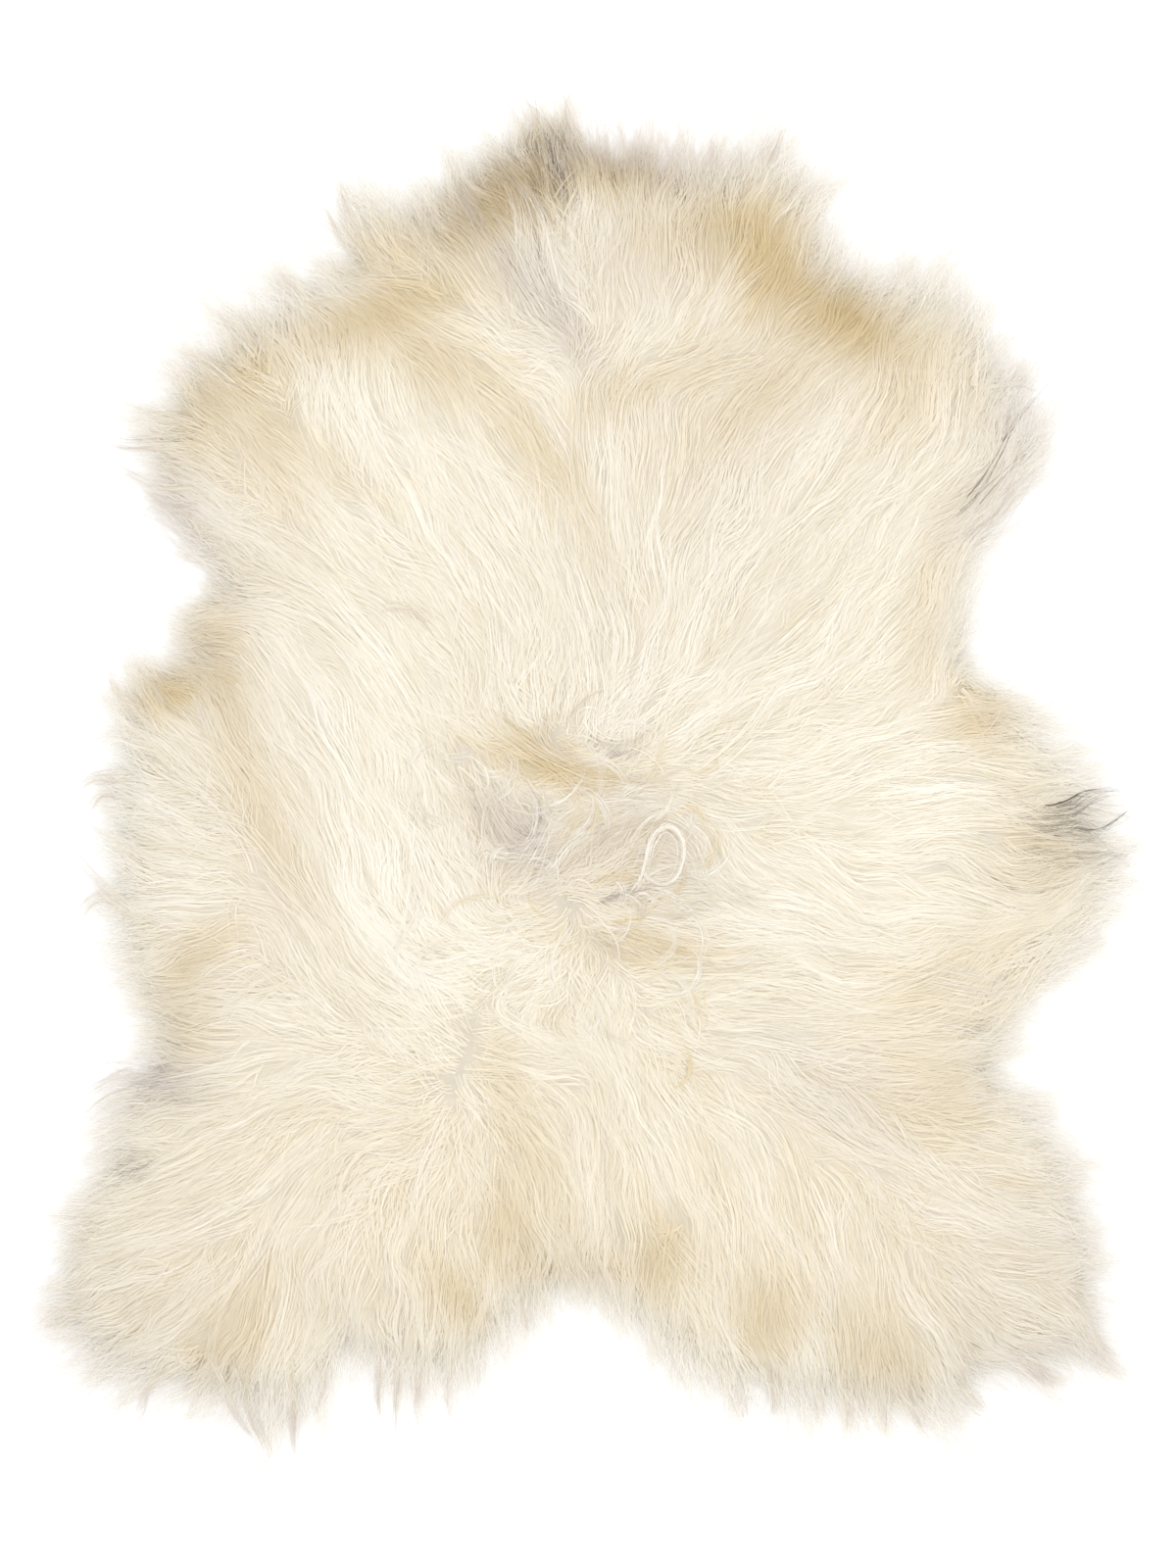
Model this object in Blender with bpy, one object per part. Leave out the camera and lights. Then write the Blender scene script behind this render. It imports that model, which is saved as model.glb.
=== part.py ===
"""A whole long-haired sheepskin laid flat as a rug, wool side up.

Metres, +Z up. The neck is towards +Y and the hind feet are towards -Y. The
origin is on the floor, under the middle of the wool.
"""
import math
from collections import namedtuple

import bmesh
import bpy
import numpy as np
from mathutils import Vector

MM = 0.001

# Driving sizes
SKIN_THICKNESS = 2.0 * MM
SKIN_GAP = 0.3 * MM          # between the skin's top face and the wool's underside
EDGE_GAP = 2.5 * MM          # between the skin's cut edge and the wool that hangs over it
OVERHANG = 46.0 * MM         # how far the wool's dense edge lies past the skin
CROWN = 58.0 * MM            # depth of the wool in the middle
RIM_DEPTH = 15.0 * MM        # depth of the wool where the rim locks begin
ROLL_OFF = 120.0 * MM        # how far in from the edge the wool reaches its full depth
LUMP = 5.5 * MM              # how far the heaps of wool rise and fall
RIDGE = 3.5 * MM             # how far the combed locks near the edge rise and fall

LOCKS = 140                  # locks round the rim, one for each segment of the outline
RIDGES = 35                  # combed ridges round the slab
LOCK_STEPS = 4               # stretches along each lock
LOCK_TIP = 0.1               # a tip's width, as a share of the root's
LOCK_SPREAD = 0.45           # how much neighbouring locks differ in length
LOCK_SWEEP = math.radians(12)   # how far a lock's tip swings aside
LOCK_SLANT = math.radians(34)   # the most that a lock leans from square to the edge

# The edge of the dense wool, anticlockwise from the right flank. comb_deg is the
# way the locks lie there, from +X towards +Y, and lock_mm is how far they reach
# past the edge.
Landmark = namedtuple("Landmark", "place x_mm y_mm comb_deg lock_mm")
RIM = [
    Landmark("right flank", 408, -15, 0, 34),
    Landmark("right flank, fore", 346, 60, -5, 24),
    Landmark("right armpit", 304, 135, 50, 12),
    Landmark("right shoulder, under", 334, 215, 42, 14),
    Landmark("right shoulder", 361, 262, 48, 26),
    Landmark("right shoulder, top", 338, 335, 62, 16),
    Landmark("right shoulder, fore", 305, 388, 60, 20),
    Landmark("right shoulder to neck", 240, 404, 48, 28),
    Landmark("right neck hollow", 194, 430, 55, 10),
    Landmark("neck, right side", 180, 478, 60, 22),
    Landmark("neck, right corner", 148, 503, 66, 32),
    Landmark("neck, right", 90, 497, 84, 30),
    Landmark("neck, middle", 25, 513, 90, 16),
    Landmark("neck, longest tuft", -42, 533, 99, 24),
    Landmark("neck, left", -108, 497, 112, 14),
    Landmark("neck, left step", -138, 470, 118, 16),
    Landmark("neck, left corner", -188, 460, 126, 32),
    Landmark("left neck hollow", -196, 420, 148, 12),
    Landmark("left shoulder to neck", -260, 382, 130, 26),
    Landmark("left shoulder, fore", -324, 334, 140, 30),
    Landmark("left shoulder", -352, 284, 165, 42),
    Landmark("left shoulder, under", -344, 222, 160, 16),
    Landmark("left armpit", -300, 170, 155, 10),
    Landmark("left armpit tuft", -327, 140, 172, 12),
    Landmark("left crook", -326, 102, 160, 12),
    Landmark("left flank, fore", -374, 76, 140, 18),
    Landmark("left flank", -383, 0, 168, 22),
    Landmark("left flank, hind", -386, -120, 182, 18),
    Landmark("left hollow, fore", -355, -185, 182, 20),
    Landmark("left hollow", -352, -222, 184, 22),
    Landmark("left thigh", -382, -272, 195, 28),
    Landmark("left thigh, hind", -394, -312, 195, 16),
    Landmark("left hind leg", -421, -370, 200, 14),
    Landmark("left hind foot", -426, -436, 208, 24),
    Landmark("left hind foot, inner", -376, -482, 212, 34),
    Landmark("left rump corner", -310, -500, 236, 26),
    Landmark("left rump spike", -246, -508, 262, 46),
    Landmark("left rump dip", -204, -470, 263, 22),
    Landmark("left rump", -140, -487, 266, 42),
    Landmark("left rump, inner", -96, -474, 268, 26),
    Landmark("tail hollow, left", -60, -430, 285, 22),
    Landmark("tail hollow", -5, -411, 272, 10),
    Landmark("tail hollow, right", 66, -458, 280, 22),
    Landmark("right rump, inner", 118, -494, 296, 32),
    Landmark("right rump", 210, -509, 282, 26),
    Landmark("right rump corner", 288, -512, 305, 28),
    Landmark("right rump dip", 338, -480, 326, 26),
    Landmark("right hind foot", 412, -456, 328, 28),
    Landmark("right hind leg", 411, -385, 354, 14),
    Landmark("right thigh", 386, -300, 356, 16),
    Landmark("right hollow", 338, -232, 10, 14),
    Landmark("right flank, hind", 376, -160, 36, 16),
    Landmark("right flank, longest", 426, -85, 22, 20),
]

# Rings of the slab's top: the inner ones at a share of the way out to the first
# of the outer ones, which lie at a distance in from the edge. The inner ones lose
# the outline's bays little by little.
INNER_RINGS = (0.18, 0.36, 0.54, 0.70, 0.86)
OUTER_RINGS = (130 * MM, 96 * MM, 66 * MM, 40 * MM, 20 * MM, 7 * MM, 0.0)
# Rings of its underside, from the rim back to the middle.
UNDER_RINGS = ("rim", "edge, floor", "edge, skin", "half way in")


def rim_curves():
    """Outline, lock heading and lock length at each of the LOCKS corners.

    A closed Catmull-Rom curve runs through the landmarks and is read at equal
    steps of its length.
    """
    rows = np.array([(mark.x_mm * MM, mark.y_mm * MM,
                      math.cos(math.radians(mark.comb_deg)),
                      math.sin(math.radians(mark.comb_deg)),
                      mark.lock_mm * MM) for mark in RIM])
    before = np.roll(rows, 1, axis=0)
    after = np.roll(rows, -1, axis=0)
    later = np.roll(rows, -2, axis=0)
    stretches = []
    for u in np.linspace(0.0, 1.0, 12, endpoint=False):
        stretches.append(0.5 * (2 * rows + (after - before) * u
                                + (2 * before - 5 * rows + 4 * after - later) * u ** 2
                                + (3 * rows - before - 3 * after + later) * u ** 3))
    fine = np.stack(stretches, axis=1).reshape(-1, rows.shape[1])
    closed = np.vstack([fine, fine[:1]])
    length = np.concatenate([[0.0], np.cumsum(np.hypot(*np.diff(closed[:, :2], axis=0).T))])
    places = np.linspace(0.0, length[-1], LOCKS, endpoint=False)
    even = np.stack([np.interp(places, length, column) for column in closed.T], axis=1)
    heading = np.arctan2(even[:, 3], even[:, 2])
    return even[:, :2], heading, even[:, 4]


def smoothed(values, corners):
    """Mean of each value and its neighbours, so many corners to either side."""
    return np.mean([np.roll(values, shift, axis=0)
                    for shift in range(-corners, corners + 1)], axis=0)


def skin_outline(wool_edge):
    """The skin's cut edge: the wool's edge drawn in towards the middle by OVERHANG.

    Small bays are smoothed over, because skin is trimmed in an easy line, but
    the skin never comes nearer to the wool's edge than about half of OVERHANG.
    """
    reach = np.hypot(wool_edge[:, 0], wool_edge[:, 1])
    drawn_in = np.minimum(smoothed(reach, 4) - OVERHANG, reach - OVERHANG / 2)
    return wool_edge * (smoothed(drawn_in, 1) / reach)[:, None]


def pushed_out(edge, distance):
    """The same outline, each point moved away from the middle by a distance."""
    reach = np.hypot(edge[:, 0], edge[:, 1])
    return edge * ((reach + distance) / reach)[:, None]


def wool_depth(x, y, inward, way_round):
    """Depth of the wool at a distance inward from its edge.

    It rolls up from the rim along a quarter of a squashed circle. Heaps lie all
    over it, and ridges of combed locks run out to the edge. way_round is the
    place along the outline, from 0 to 1.
    """
    flat = min(inward / ROLL_OFF, 1.0)
    crown = RIM_DEPTH + (CROWN - RIM_DEPTH) * math.sqrt(1.0 - (1.0 - flat) ** 2.2)
    heaps = (math.sin(x / (27 * MM) + 2.2 * math.sin(y / (74 * MM)))
             * math.sin(y / (36 * MM) + 1.4 * math.sin(x / (58 * MM))))
    ridges = math.cos(math.tau * RIDGES * way_round) * (1.0 - flat) * 4.0 * flat
    return crown + LUMP * flat * heaps + RIDGE * ridges


def principled(name, colour, roughness):
    material = bpy.data.materials.new(name)
    material.use_nodes = True
    shader = material.node_tree.nodes["Principled BSDF"]
    shader.inputs["Base Color"].default_value = (*colour, 1.0)
    shader.inputs["Roughness"].default_value = roughness
    shader.inputs["Metallic"].default_value = 0.0
    return material


def add_object(name, data, collection, material):
    piece = bpy.data.objects.new(name, data)
    piece.data.materials.append(material)
    collection.objects.link(piece)
    return piece


def make_hide(collection, skin_edge):
    """The tanned skin: a flat outline, as thick as the leather."""
    outline = bpy.data.curves.new("hide", "CURVE")
    outline.dimensions = "2D"
    outline.fill_mode = "BOTH"
    outline.extrude = SKIN_THICKNESS / 2
    spline = outline.splines.new("POLY")
    spline.points.add(len(skin_edge) - 1)
    for point, (x, y) in zip(spline.points, skin_edge):
        point.co = (x, y, 0.0, 1.0)
    spline.use_cyclic_u = True
    hide = add_object("hide", outline, collection,
                      principled("tanned skin", (0.72, 0.62, 0.48), 0.8))
    hide.location.z = SKIN_THICKNESS / 2
    return hide


def ring_points(wool_edge, skin_edge):
    """Corners of every ring of the slab, from the top one round to the underside."""
    skin_top = SKIN_THICKNESS + SKIN_GAP
    clear_edge = pushed_out(skin_edge, EDGE_GAP)
    first_outer = pushed_out(wool_edge, -OUTER_RINGS[0])
    without_bays = smoothed(first_outer, 12)
    top = [((without_bays * (1 - share) + first_outer * share) * share, ROLL_OFF)
           for share in INNER_RINGS]
    top += [(pushed_out(wool_edge, -inward), inward) for inward in OUTER_RINGS]
    rings = []
    for edge, inward in top:
        rings.append([(x, y, wool_depth(x, y, inward, segment / LOCKS))
                      for segment, (x, y) in enumerate(edge)])
    under = {
        "rim": (wool_edge, 0.0),
        "edge, floor": (clear_edge, 0.0),
        "edge, skin": (clear_edge, skin_top),
        "half way in": (clear_edge * 0.5, skin_top),
    }
    for name in UNDER_RINGS:
        edge, height = under[name]
        rings.append([(x, y, height) for x, y in edge])
    return rings


def grow_locks(mesh, rim_faces, heading, reach):
    """Draw each rim face out into a four-sided lock that rests level on the floor.

    A lock stays parallel to its root's edge and its width shrinks evenly to its
    tip, its top falls towards the floor and its end swings aside. Lengths follow
    the golden ratio, so that neighbours differ.
    """
    golden = (math.sqrt(5.0) - 1.0) / 2.0
    for number, face in rim_faces.items():
        low = [corner.co.copy() for corner in face.verts if corner.co.z < RIM_DEPTH / 2]
        root = (low[0] + low[1]) / 2
        edge = low[1] - root
        square = math.atan2(face.normal.y, face.normal.x)
        lean = math.remainder(heading[number] - square, math.tau)
        angle = square + max(-LOCK_SLANT, min(LOCK_SLANT, lean))
        phase = (number * golden) % 1.0
        length = float(reach[number]) * (1.0 + LOCK_SPREAD * (2.0 * phase - 1.0))
        swing = LOCK_SWEEP * math.sin(2.4 * number)
        tip = face
        centre_before = root
        for step in range(1, LOCK_STEPS + 1):
            along = step / LOCK_STEPS
            tip = bmesh.ops.extrude_discrete_faces(mesh, faces=[tip])["faces"][0]
            turn = angle + swing * along
            centre = root + Vector((math.cos(turn), math.sin(turn), 0.0)) * (length * along)
            width = 1.0 - (1.0 - LOCK_TIP) * along ** 0.8
            depth = RIM_DEPTH * (1.0 - 0.8 * along ** 0.9)
            for corner in tip.verts:
                side = math.copysign(1.0, (corner.co - centre_before).dot(edge))
                is_top = corner.co.z > 0.2 * MM
                corner.co = centre + side * width * edge
                corner.co.z = depth if is_top else 0.0
            centre_before = centre


def make_fleece(collection, wool_edge, skin_edge, heading, reach):
    """The wool: a sphere's rings laid out over the skin, with locks at the rim."""
    rings = ring_points(wool_edge, skin_edge)
    mesh = bmesh.new()
    bmesh.ops.create_uvsphere(mesh, u_segments=LOCKS, v_segments=len(rings) + 1, radius=1.0)
    place = {}
    for corner in mesh.verts:
        ring = round(math.acos(max(-1.0, min(1.0, corner.co.z))) / math.pi * (len(rings) + 1))
        segment = round(math.atan2(corner.co.y, corner.co.x) / math.tau * LOCKS) % LOCKS
        place[corner] = (ring, segment)
    last = len(rings) + 1
    for corner, (ring, segment) in place.items():
        if ring == 0:
            corner.co = (0.0, 0.0, wool_depth(0.0, 0.0, ROLL_OFF, 0.0))
        elif ring == last:
            corner.co = (0.0, 0.0, SKIN_THICKNESS + SKIN_GAP)
        else:
            corner.co = rings[ring - 1][segment]
    mesh.normal_update()
    rim_top = len(INNER_RINGS) + len(OUTER_RINGS)
    rim_faces = {}
    for face in mesh.faces:
        spots = [place[corner] for corner in face.verts]
        if {ring for ring, _ in spots} == {rim_top, rim_top + 1}:
            segments = sorted({segment for _, segment in spots})
            first = segments[1] if segments == [0, LOCKS - 1] else segments[0]
            rim_faces[first] = face
    grow_locks(mesh, dict(sorted(rim_faces.items())), heading, reach)
    data = bpy.data.meshes.new("fleece")
    mesh.to_mesh(data)
    mesh.free()
    data.shade_smooth()
    data.set_sharp_from_angle(angle=math.radians(50))
    return add_object("fleece", data, collection,
                      principled("cream wool", (0.86, 0.78, 0.62), 0.95))


for old in list(bpy.data.objects):
    bpy.data.objects.remove(old)
rug = bpy.data.collections.new("sheepskin rug")
bpy.context.scene.collection.children.link(rug)
wool_edge, heading, reach = rim_curves()
skin_edge = skin_outline(wool_edge)
make_hide(rug, skin_edge)
make_fleece(rug, wool_edge, skin_edge, heading, reach)
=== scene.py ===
"""A whole long-haired sheepskin laid out as a rug, seen from straight above."""
import math
from collections import namedtuple

import bpy
import numpy as np
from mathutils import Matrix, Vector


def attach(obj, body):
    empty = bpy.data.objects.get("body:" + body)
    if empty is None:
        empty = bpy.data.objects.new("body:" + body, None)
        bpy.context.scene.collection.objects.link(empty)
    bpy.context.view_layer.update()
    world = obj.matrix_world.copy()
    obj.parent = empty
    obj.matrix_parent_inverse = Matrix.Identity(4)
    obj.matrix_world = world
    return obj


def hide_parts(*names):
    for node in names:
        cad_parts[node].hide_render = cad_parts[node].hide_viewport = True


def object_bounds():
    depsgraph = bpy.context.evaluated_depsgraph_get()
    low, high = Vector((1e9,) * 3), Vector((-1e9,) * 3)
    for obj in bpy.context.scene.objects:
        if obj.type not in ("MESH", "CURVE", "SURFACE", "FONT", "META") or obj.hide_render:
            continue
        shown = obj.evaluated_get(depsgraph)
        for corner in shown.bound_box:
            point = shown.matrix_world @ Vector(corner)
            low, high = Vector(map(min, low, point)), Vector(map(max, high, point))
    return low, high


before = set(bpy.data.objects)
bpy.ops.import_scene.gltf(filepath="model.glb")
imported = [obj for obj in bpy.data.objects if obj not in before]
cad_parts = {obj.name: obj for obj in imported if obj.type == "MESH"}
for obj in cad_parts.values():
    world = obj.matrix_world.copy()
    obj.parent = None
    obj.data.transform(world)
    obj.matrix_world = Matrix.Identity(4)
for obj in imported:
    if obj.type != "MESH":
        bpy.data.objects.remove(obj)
cad_low, cad_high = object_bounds()
MM = 0.001

# ------------------------------------------------------------------ the camera
# A long lens looks straight down on the middle of the rug, so that the wool's
# depth hardly leans outwards. The picture is 1.28 m tall on the wool.
PICTURE_HEIGHT = 1.28
FOCUS_HEIGHT = 30 * MM
LENS = 85.0
FILM = 36.0

camera = bpy.data.objects.new("camera", bpy.data.cameras.new("camera"))
camera.data.lens = LENS
camera.data.sensor_width = FILM
camera.location = (0.0, 0.0, FOCUS_HEIGHT + PICTURE_HEIGHT * LENS / FILM)
bpy.context.scene.collection.objects.link(camera)
bpy.context.scene.camera = camera

# ------------------------------------------------------------------ the tanned skin
# The sheep's skin itself: one piece of soft leather, 2 mm thick, trimmed round the
# neck, shoulders, flanks and hind feet. Its flesh side is buffed to a pale suede
# and lies on the floor. The wool grows out of its other side.
SKIN_THICKNESS = 2.0 * MM
SKIN_GAP = 0.3 * MM
OVERHANG = 46.0 * MM
SKIN_CORNERS = 240
SKIN_RINGS = 7
RING_CROWDING = 0.8  # under 1, so that the rings lie closer near the edge
FIRST_SMOOTHING, LAST_SMOOTHING = 8, 3  # corners to either side
EDGE_TURNS = 5
EDGE_ROUND = 0.6 * MM
SUEDE_TONES = [(0.3, (0.50, 0.38, 0.25)), (0.52, (0.66, 0.54, 0.39)), (0.7, (0.76, 0.66, 0.52))]
NAP_TONE = (0.42, 0.31, 0.20)

# The edge of the dense wool, anticlockwise from the right flank, in millimetres.
# comb is the way the wool lies there, in degrees from +X towards +Y, and reach is
# how far its longest tips stand past the edge.
Edge = namedtuple("Edge", "x y comb reach")
WOOL_EDGE = [
    Edge(408, -15, 0, 28), Edge(346, 60, -5, 24), Edge(300, 135, 50, 14),
    Edge(326, 213, 42, 14), Edge(361, 262, 48, 22), Edge(338, 335, 62, 20),
    Edge(305, 388, 60, 24), Edge(240, 404, 48, 34), Edge(194, 430, 55, 14),
    Edge(180, 478, 60, 28), Edge(148, 503, 66, 40), Edge(90, 497, 84, 40),
    Edge(25, 513, 90, 26), Edge(-42, 533, 99, 26), Edge(-108, 497, 112, 16),
    Edge(-138, 470, 118, 20), Edge(-188, 460, 126, 38), Edge(-196, 420, 148, 16),
    Edge(-260, 382, 130, 34), Edge(-324, 334, 140, 34), Edge(-350, 284, 165, 26),
    Edge(-339, 222, 160, 12), Edge(-300, 170, 155, 10), Edge(-327, 140, 172, 14),
    Edge(-326, 102, 160, 14), Edge(-374, 76, 140, 16), Edge(-381, 0, 168, 14),
    Edge(-384, -120, 182, 14), Edge(-355, -185, 182, 20), Edge(-352, -222, 184, 18),
    Edge(-380, -272, 195, 22), Edge(-392, -312, 195, 12), Edge(-421, -370, 200, 16),
    Edge(-426, -436, 208, 22), Edge(-376, -480, 212, 28), Edge(-310, -494, 236, 26),
    Edge(-246, -502, 262, 38), Edge(-204, -464, 263, 20), Edge(-140, -478, 266, 34),
    Edge(-96, -466, 268, 24), Edge(-60, -430, 285, 34), Edge(-5, -411, 272, 14),
    Edge(66, -454, 280, 20), Edge(118, -486, 296, 28), Edge(210, -500, 282, 26),
    Edge(288, -505, 305, 26), Edge(338, -476, 326, 24), Edge(410, -454, 328, 26),
    Edge(409, -385, 354, 12), Edge(380, -302, 356, 20), Edge(328, -236, 10, 18),
    Edge(366, -166, 36, 18), Edge(420, -90, 22, 26),
]


def closed_curve(rows, corners):
    """Rows of numbers along a closed Catmull-Rom curve, at equal steps of its length.

    The first two columns are its place, and the others are carried along.
    """
    before, after, later = (np.roll(rows, shift, axis=0) for shift in (1, -1, -2))
    fine = np.stack([0.5 * (2 * rows + (after - before) * u
                            + (2 * before - 5 * rows + 4 * after - later) * u ** 2
                            + (3 * rows - before - 3 * after + later) * u ** 3)
                     for u in np.linspace(0.0, 1.0, 16, endpoint=False)], axis=1)
    fine = fine.reshape(-1, rows.shape[1])
    fine = np.vstack([fine, fine[:1]])
    steps = np.hypot(*np.diff(fine[:, :2], axis=0).T)
    length = np.concatenate([[0.0], np.cumsum(steps)])
    places = np.linspace(0.0, length[-1], corners, endpoint=False)
    return np.stack([np.interp(places, length, column) for column in fine.T], axis=1)


def unit(angle):
    """Unit vectors at these angles from +X."""
    return np.stack([np.cos(angle), np.sin(angle)], axis=-1)


def smoothed(values, corners):
    """Mean of each value and its neighbours round a closed edge."""
    return np.mean([np.roll(values, shift, axis=0)
                    for shift in range(-corners, corners + 1)], axis=0)


def ring_faces(rings, corners):
    """Four-sided faces between neighbouring rings of a tube, as rows of corners."""
    ring = np.arange(rings - 1)[:, None] * corners
    here = np.arange(corners)[None, :]
    following = (here + 1) % corners
    return np.stack([ring + here, ring + corners + here, ring + corners + following,
                     ring + following], axis=-1).reshape(-1, 4)


def add_piece(name, places, faces):
    """A piece from arrays of places and of faces with four corners, on the one body."""
    data = bpy.data.meshes.new(name)
    data.vertices.add(len(places))
    data.vertices.foreach_set("co", np.asarray(places, np.float32).ravel())
    data.loops.add(faces.size)
    data.loops.foreach_set("vertex_index", np.asarray(faces, np.int32).ravel())
    data.polygons.add(len(faces))
    data.polygons.foreach_set("loop_start", np.arange(0, faces.size, 4, dtype=np.int32))
    data.update(calc_edges=True)
    data.validate()
    data.shade_smooth()
    piece = bpy.data.objects.new(name, data)
    bpy.context.scene.collection.objects.link(piece)
    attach(piece, "root")
    return piece


class Socket:
    """An output in a shader tree. A sum or product with it adds the Math node."""

    def __init__(self, tree, output=None):
        self.tree = tree
        self.output = output

    def node(self, kind, settings, values, output=0):
        """A new node: its settings are set first, then a value or link for each socket."""
        new = self.tree.nodes.new(kind)
        stops = settings.pop("stops", None)
        for name, setting in settings.items():
            setattr(new, name, setting)
        if stops:
            elements = new.color_ramp.elements
            for _ in range(len(stops) - 2):
                elements.new(0.5)
            for element, (position, colour) in zip(elements, stops):
                element.position = position
                element.color = (*colour, 1.0)
        for name, value in values.items():
            if isinstance(value, Socket):
                self.tree.links.new(value.output, new.inputs[name])
            else:
                new.inputs[name].default_value = value
        return Socket(self.tree, new.outputs[output])

    def maths(self, operation, first, second):
        return self.node("ShaderNodeMath", {"operation": operation}, {0: first, 1: second})

    def __add__(self, other):
        return self.maths("ADD", self, other)

    def __mul__(self, other):
        return self.maths("MULTIPLY", self, other)

    __radd__ = __add__
    __rmul__ = __mul__

    def mix(self, first, second, blend="MIX"):
        """Colours mixed with this socket as the share of the second."""
        colours = {"data_type": "RGBA", "blend_type": blend}
        pair = {6: rgba(first), 7: rgba(second), 0: self}
        return self.node("ShaderNodeMix", colours, pair, output=2)


def rgba(colour):
    return colour if isinstance(colour, Socket) else (*colour, 1.0)


def new_material(name, roughness, sheen):
    """A material with its shader, and a bare socket that adds nodes to its tree."""
    material = bpy.data.materials.new(name)
    material.use_nodes = True
    shader = material.node_tree.nodes["Principled BSDF"]
    shader.inputs["Roughness"].default_value = roughness
    shader.inputs["Specular IOR Level"].default_value = 0.2
    shader.inputs["Sheen Weight"].default_value = sheen
    shader.inputs["Sheen Roughness"].default_value = 0.6
    return material, shader, Socket(material.node_tree)


def link(shader, name, source):
    source.tree.links.new(source.output, shader.inputs[name])


edge_rows = np.array([(e.x * MM, e.y * MM, *unit(math.radians(e.comb)), e.reach * MM)
                      for e in WOOL_EDGE])
edge_fine = closed_curve(edge_rows, SKIN_CORNERS)
wool_edge = edge_fine[:, :2]
wool_reach = np.hypot(*wool_edge.T)
drawn_in = np.minimum(smoothed(wool_reach, FIRST_SMOOTHING) - OVERHANG, wool_reach - OVERHANG / 2)
skin_edge = wool_edge * (smoothed(drawn_in, LAST_SMOOTHING) / wool_reach)[:, None]


def skin_surface(edge):
    """Rings of the skin, from the middle of its top round its edge to its underside.

    Each ring is the outline at a share of its size, and the edge is a half round.
    """
    shares = list(np.linspace(0.0, 1.0, SKIN_RINGS, endpoint=False) ** RING_CROWDING)
    heights = [SKIN_THICKNESS] * SKIN_RINGS
    insets = [0.0] * SKIN_RINGS
    for turn in np.linspace(0.0, math.pi, EDGE_TURNS):
        shares.append(1.0)
        insets.append(EDGE_ROUND * (1 - math.sin(turn)))
        heights.append(SKIN_THICKNESS / 2 * (1 + math.cos(turn)))
    shares += shares[SKIN_RINGS - 1::-1]
    insets += insets[:SKIN_RINGS]
    heights += [0.0] * SKIN_RINGS
    away = edge / np.hypot(*edge.T)[:, None]
    rings = [np.column_stack([edge * share - away * inset, np.full(len(edge), height)])
             for share, inset, height in zip(shares, insets, heights)]
    rings[0][:, :2] *= 0.0
    rings[-1][:, :2] *= 0.0
    return np.concatenate(rings), len(rings)


def skin_material():
    """Pale suede: soft clouds of tan, a fine nap, and a bump of nap, pores and clouds."""
    material, shader, paint = new_material("buffed suede", 0.92, 0.25)
    place = paint.node("ShaderNodeTexCoord", {}, {}, output="Object")
    clouds = paint.node("ShaderNodeTexNoise", {}, {"Vector": place, "Scale": 9.0, "Detail": 5.0})
    nap = paint.node("ShaderNodeTexNoise", {}, {"Vector": place, "Scale": 420.0, "Detail": 3.0})
    pores = paint.node("ShaderNodeTexVoronoi", {}, {"Vector": place, "Scale": 260.0})
    tone = clouds.node("ShaderNodeValToRGB", {"stops": SUEDE_TONES}, {"Fac": clouds})
    colour = (nap * 0.5).mix(tone, NAP_TONE)
    link(shader, "Base Color", colour)
    relief = nap * 0.6 + pores * 0.4 + clouds * 0.5
    link(shader, "Normal", relief.node("ShaderNodeBump", {},
                                       {"Height": relief, "Strength": 0.5, "Distance": 0.0006}))
    return material


skin_places, skin_rings = skin_surface(skin_edge)
skin = add_piece("tanned_skin", skin_places, ring_faces(skin_rings, SKIN_CORNERS))
skin.data.materials.append(skin_material())
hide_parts("hide")

# ------------------------------------------------------------------ the under-wool
# The short dense wool next to the skin, matted into one soft heap. It is what
# shows, in amber shade, at the partings and between the long locks.
CROWN = 50.0 * MM
RIM_DEPTH = 9.0 * MM
ROLL_OFF = 115.0 * MM
HEAP = 5.5 * MM
HEAP_WAVES = ((27 * MM, 74 * MM), (36 * MM, 58 * MM))
SINK, SINK_RUN = 0.85, 45 * MM  # what the wool loses of its height past the edge
UNDER_LAYER = 1.1 * MM
UNDER_INSET = 13 * MM
UNDER_TAPER = 22 * MM
UNDER_RIM = 0.45
LUMP, LUMP_WAVE, LUMP_FADE = 0.3 * MM, 16 * MM, 40 * MM
RIM_TURNS = (0.35, 0.7, 0.9)
RIM_TUCK, RIM_BULGE = 3 * MM, 2 * MM
EDGE_GAP = 2.5 * MM
UNDER_RINGS = 44
UNDER_CROWDING = 0.85
FOOT_INSET = 5 * MM
FOOT_HEIGHT = 0.2 * MM
EDGE_CORNERS = 1400
GRID_STEP = 4.0 * MM
GRID_HALF = np.array([0.52, 0.62])
TOOTH_STEP = (7 * MM, 20 * MM)
TOOTH_REACH = (0.3, 1.3)
NOTCH = (-12 * MM, 8 * MM)
THROUGH = 0.5  # share of the light that passes through a fibre
AMBER = (0.735, 0.595, 0.295)
# ASH_AND_SHADE is the colour of grey wool and also of painted shade; SOOT_AND_SHADE is the colour
# of dark fibre and also of a little painted shade.
ASH_AND_SHADE = (0.63, 0.565, 0.54)
SOOT_AND_SHADE = (0.12, 0.08, 0.055)
STREAK = (0.60, 0.48, 0.34)
STREAK_SHARE = 0.16
MATTED_LIGHT, MATTED_DEEP = (0.97, 0.95, 0.885), (0.92, 0.885, 0.785)
FIBRE_UNIT = 20 * MM  # length of wool to one unit of the fibre map


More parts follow.
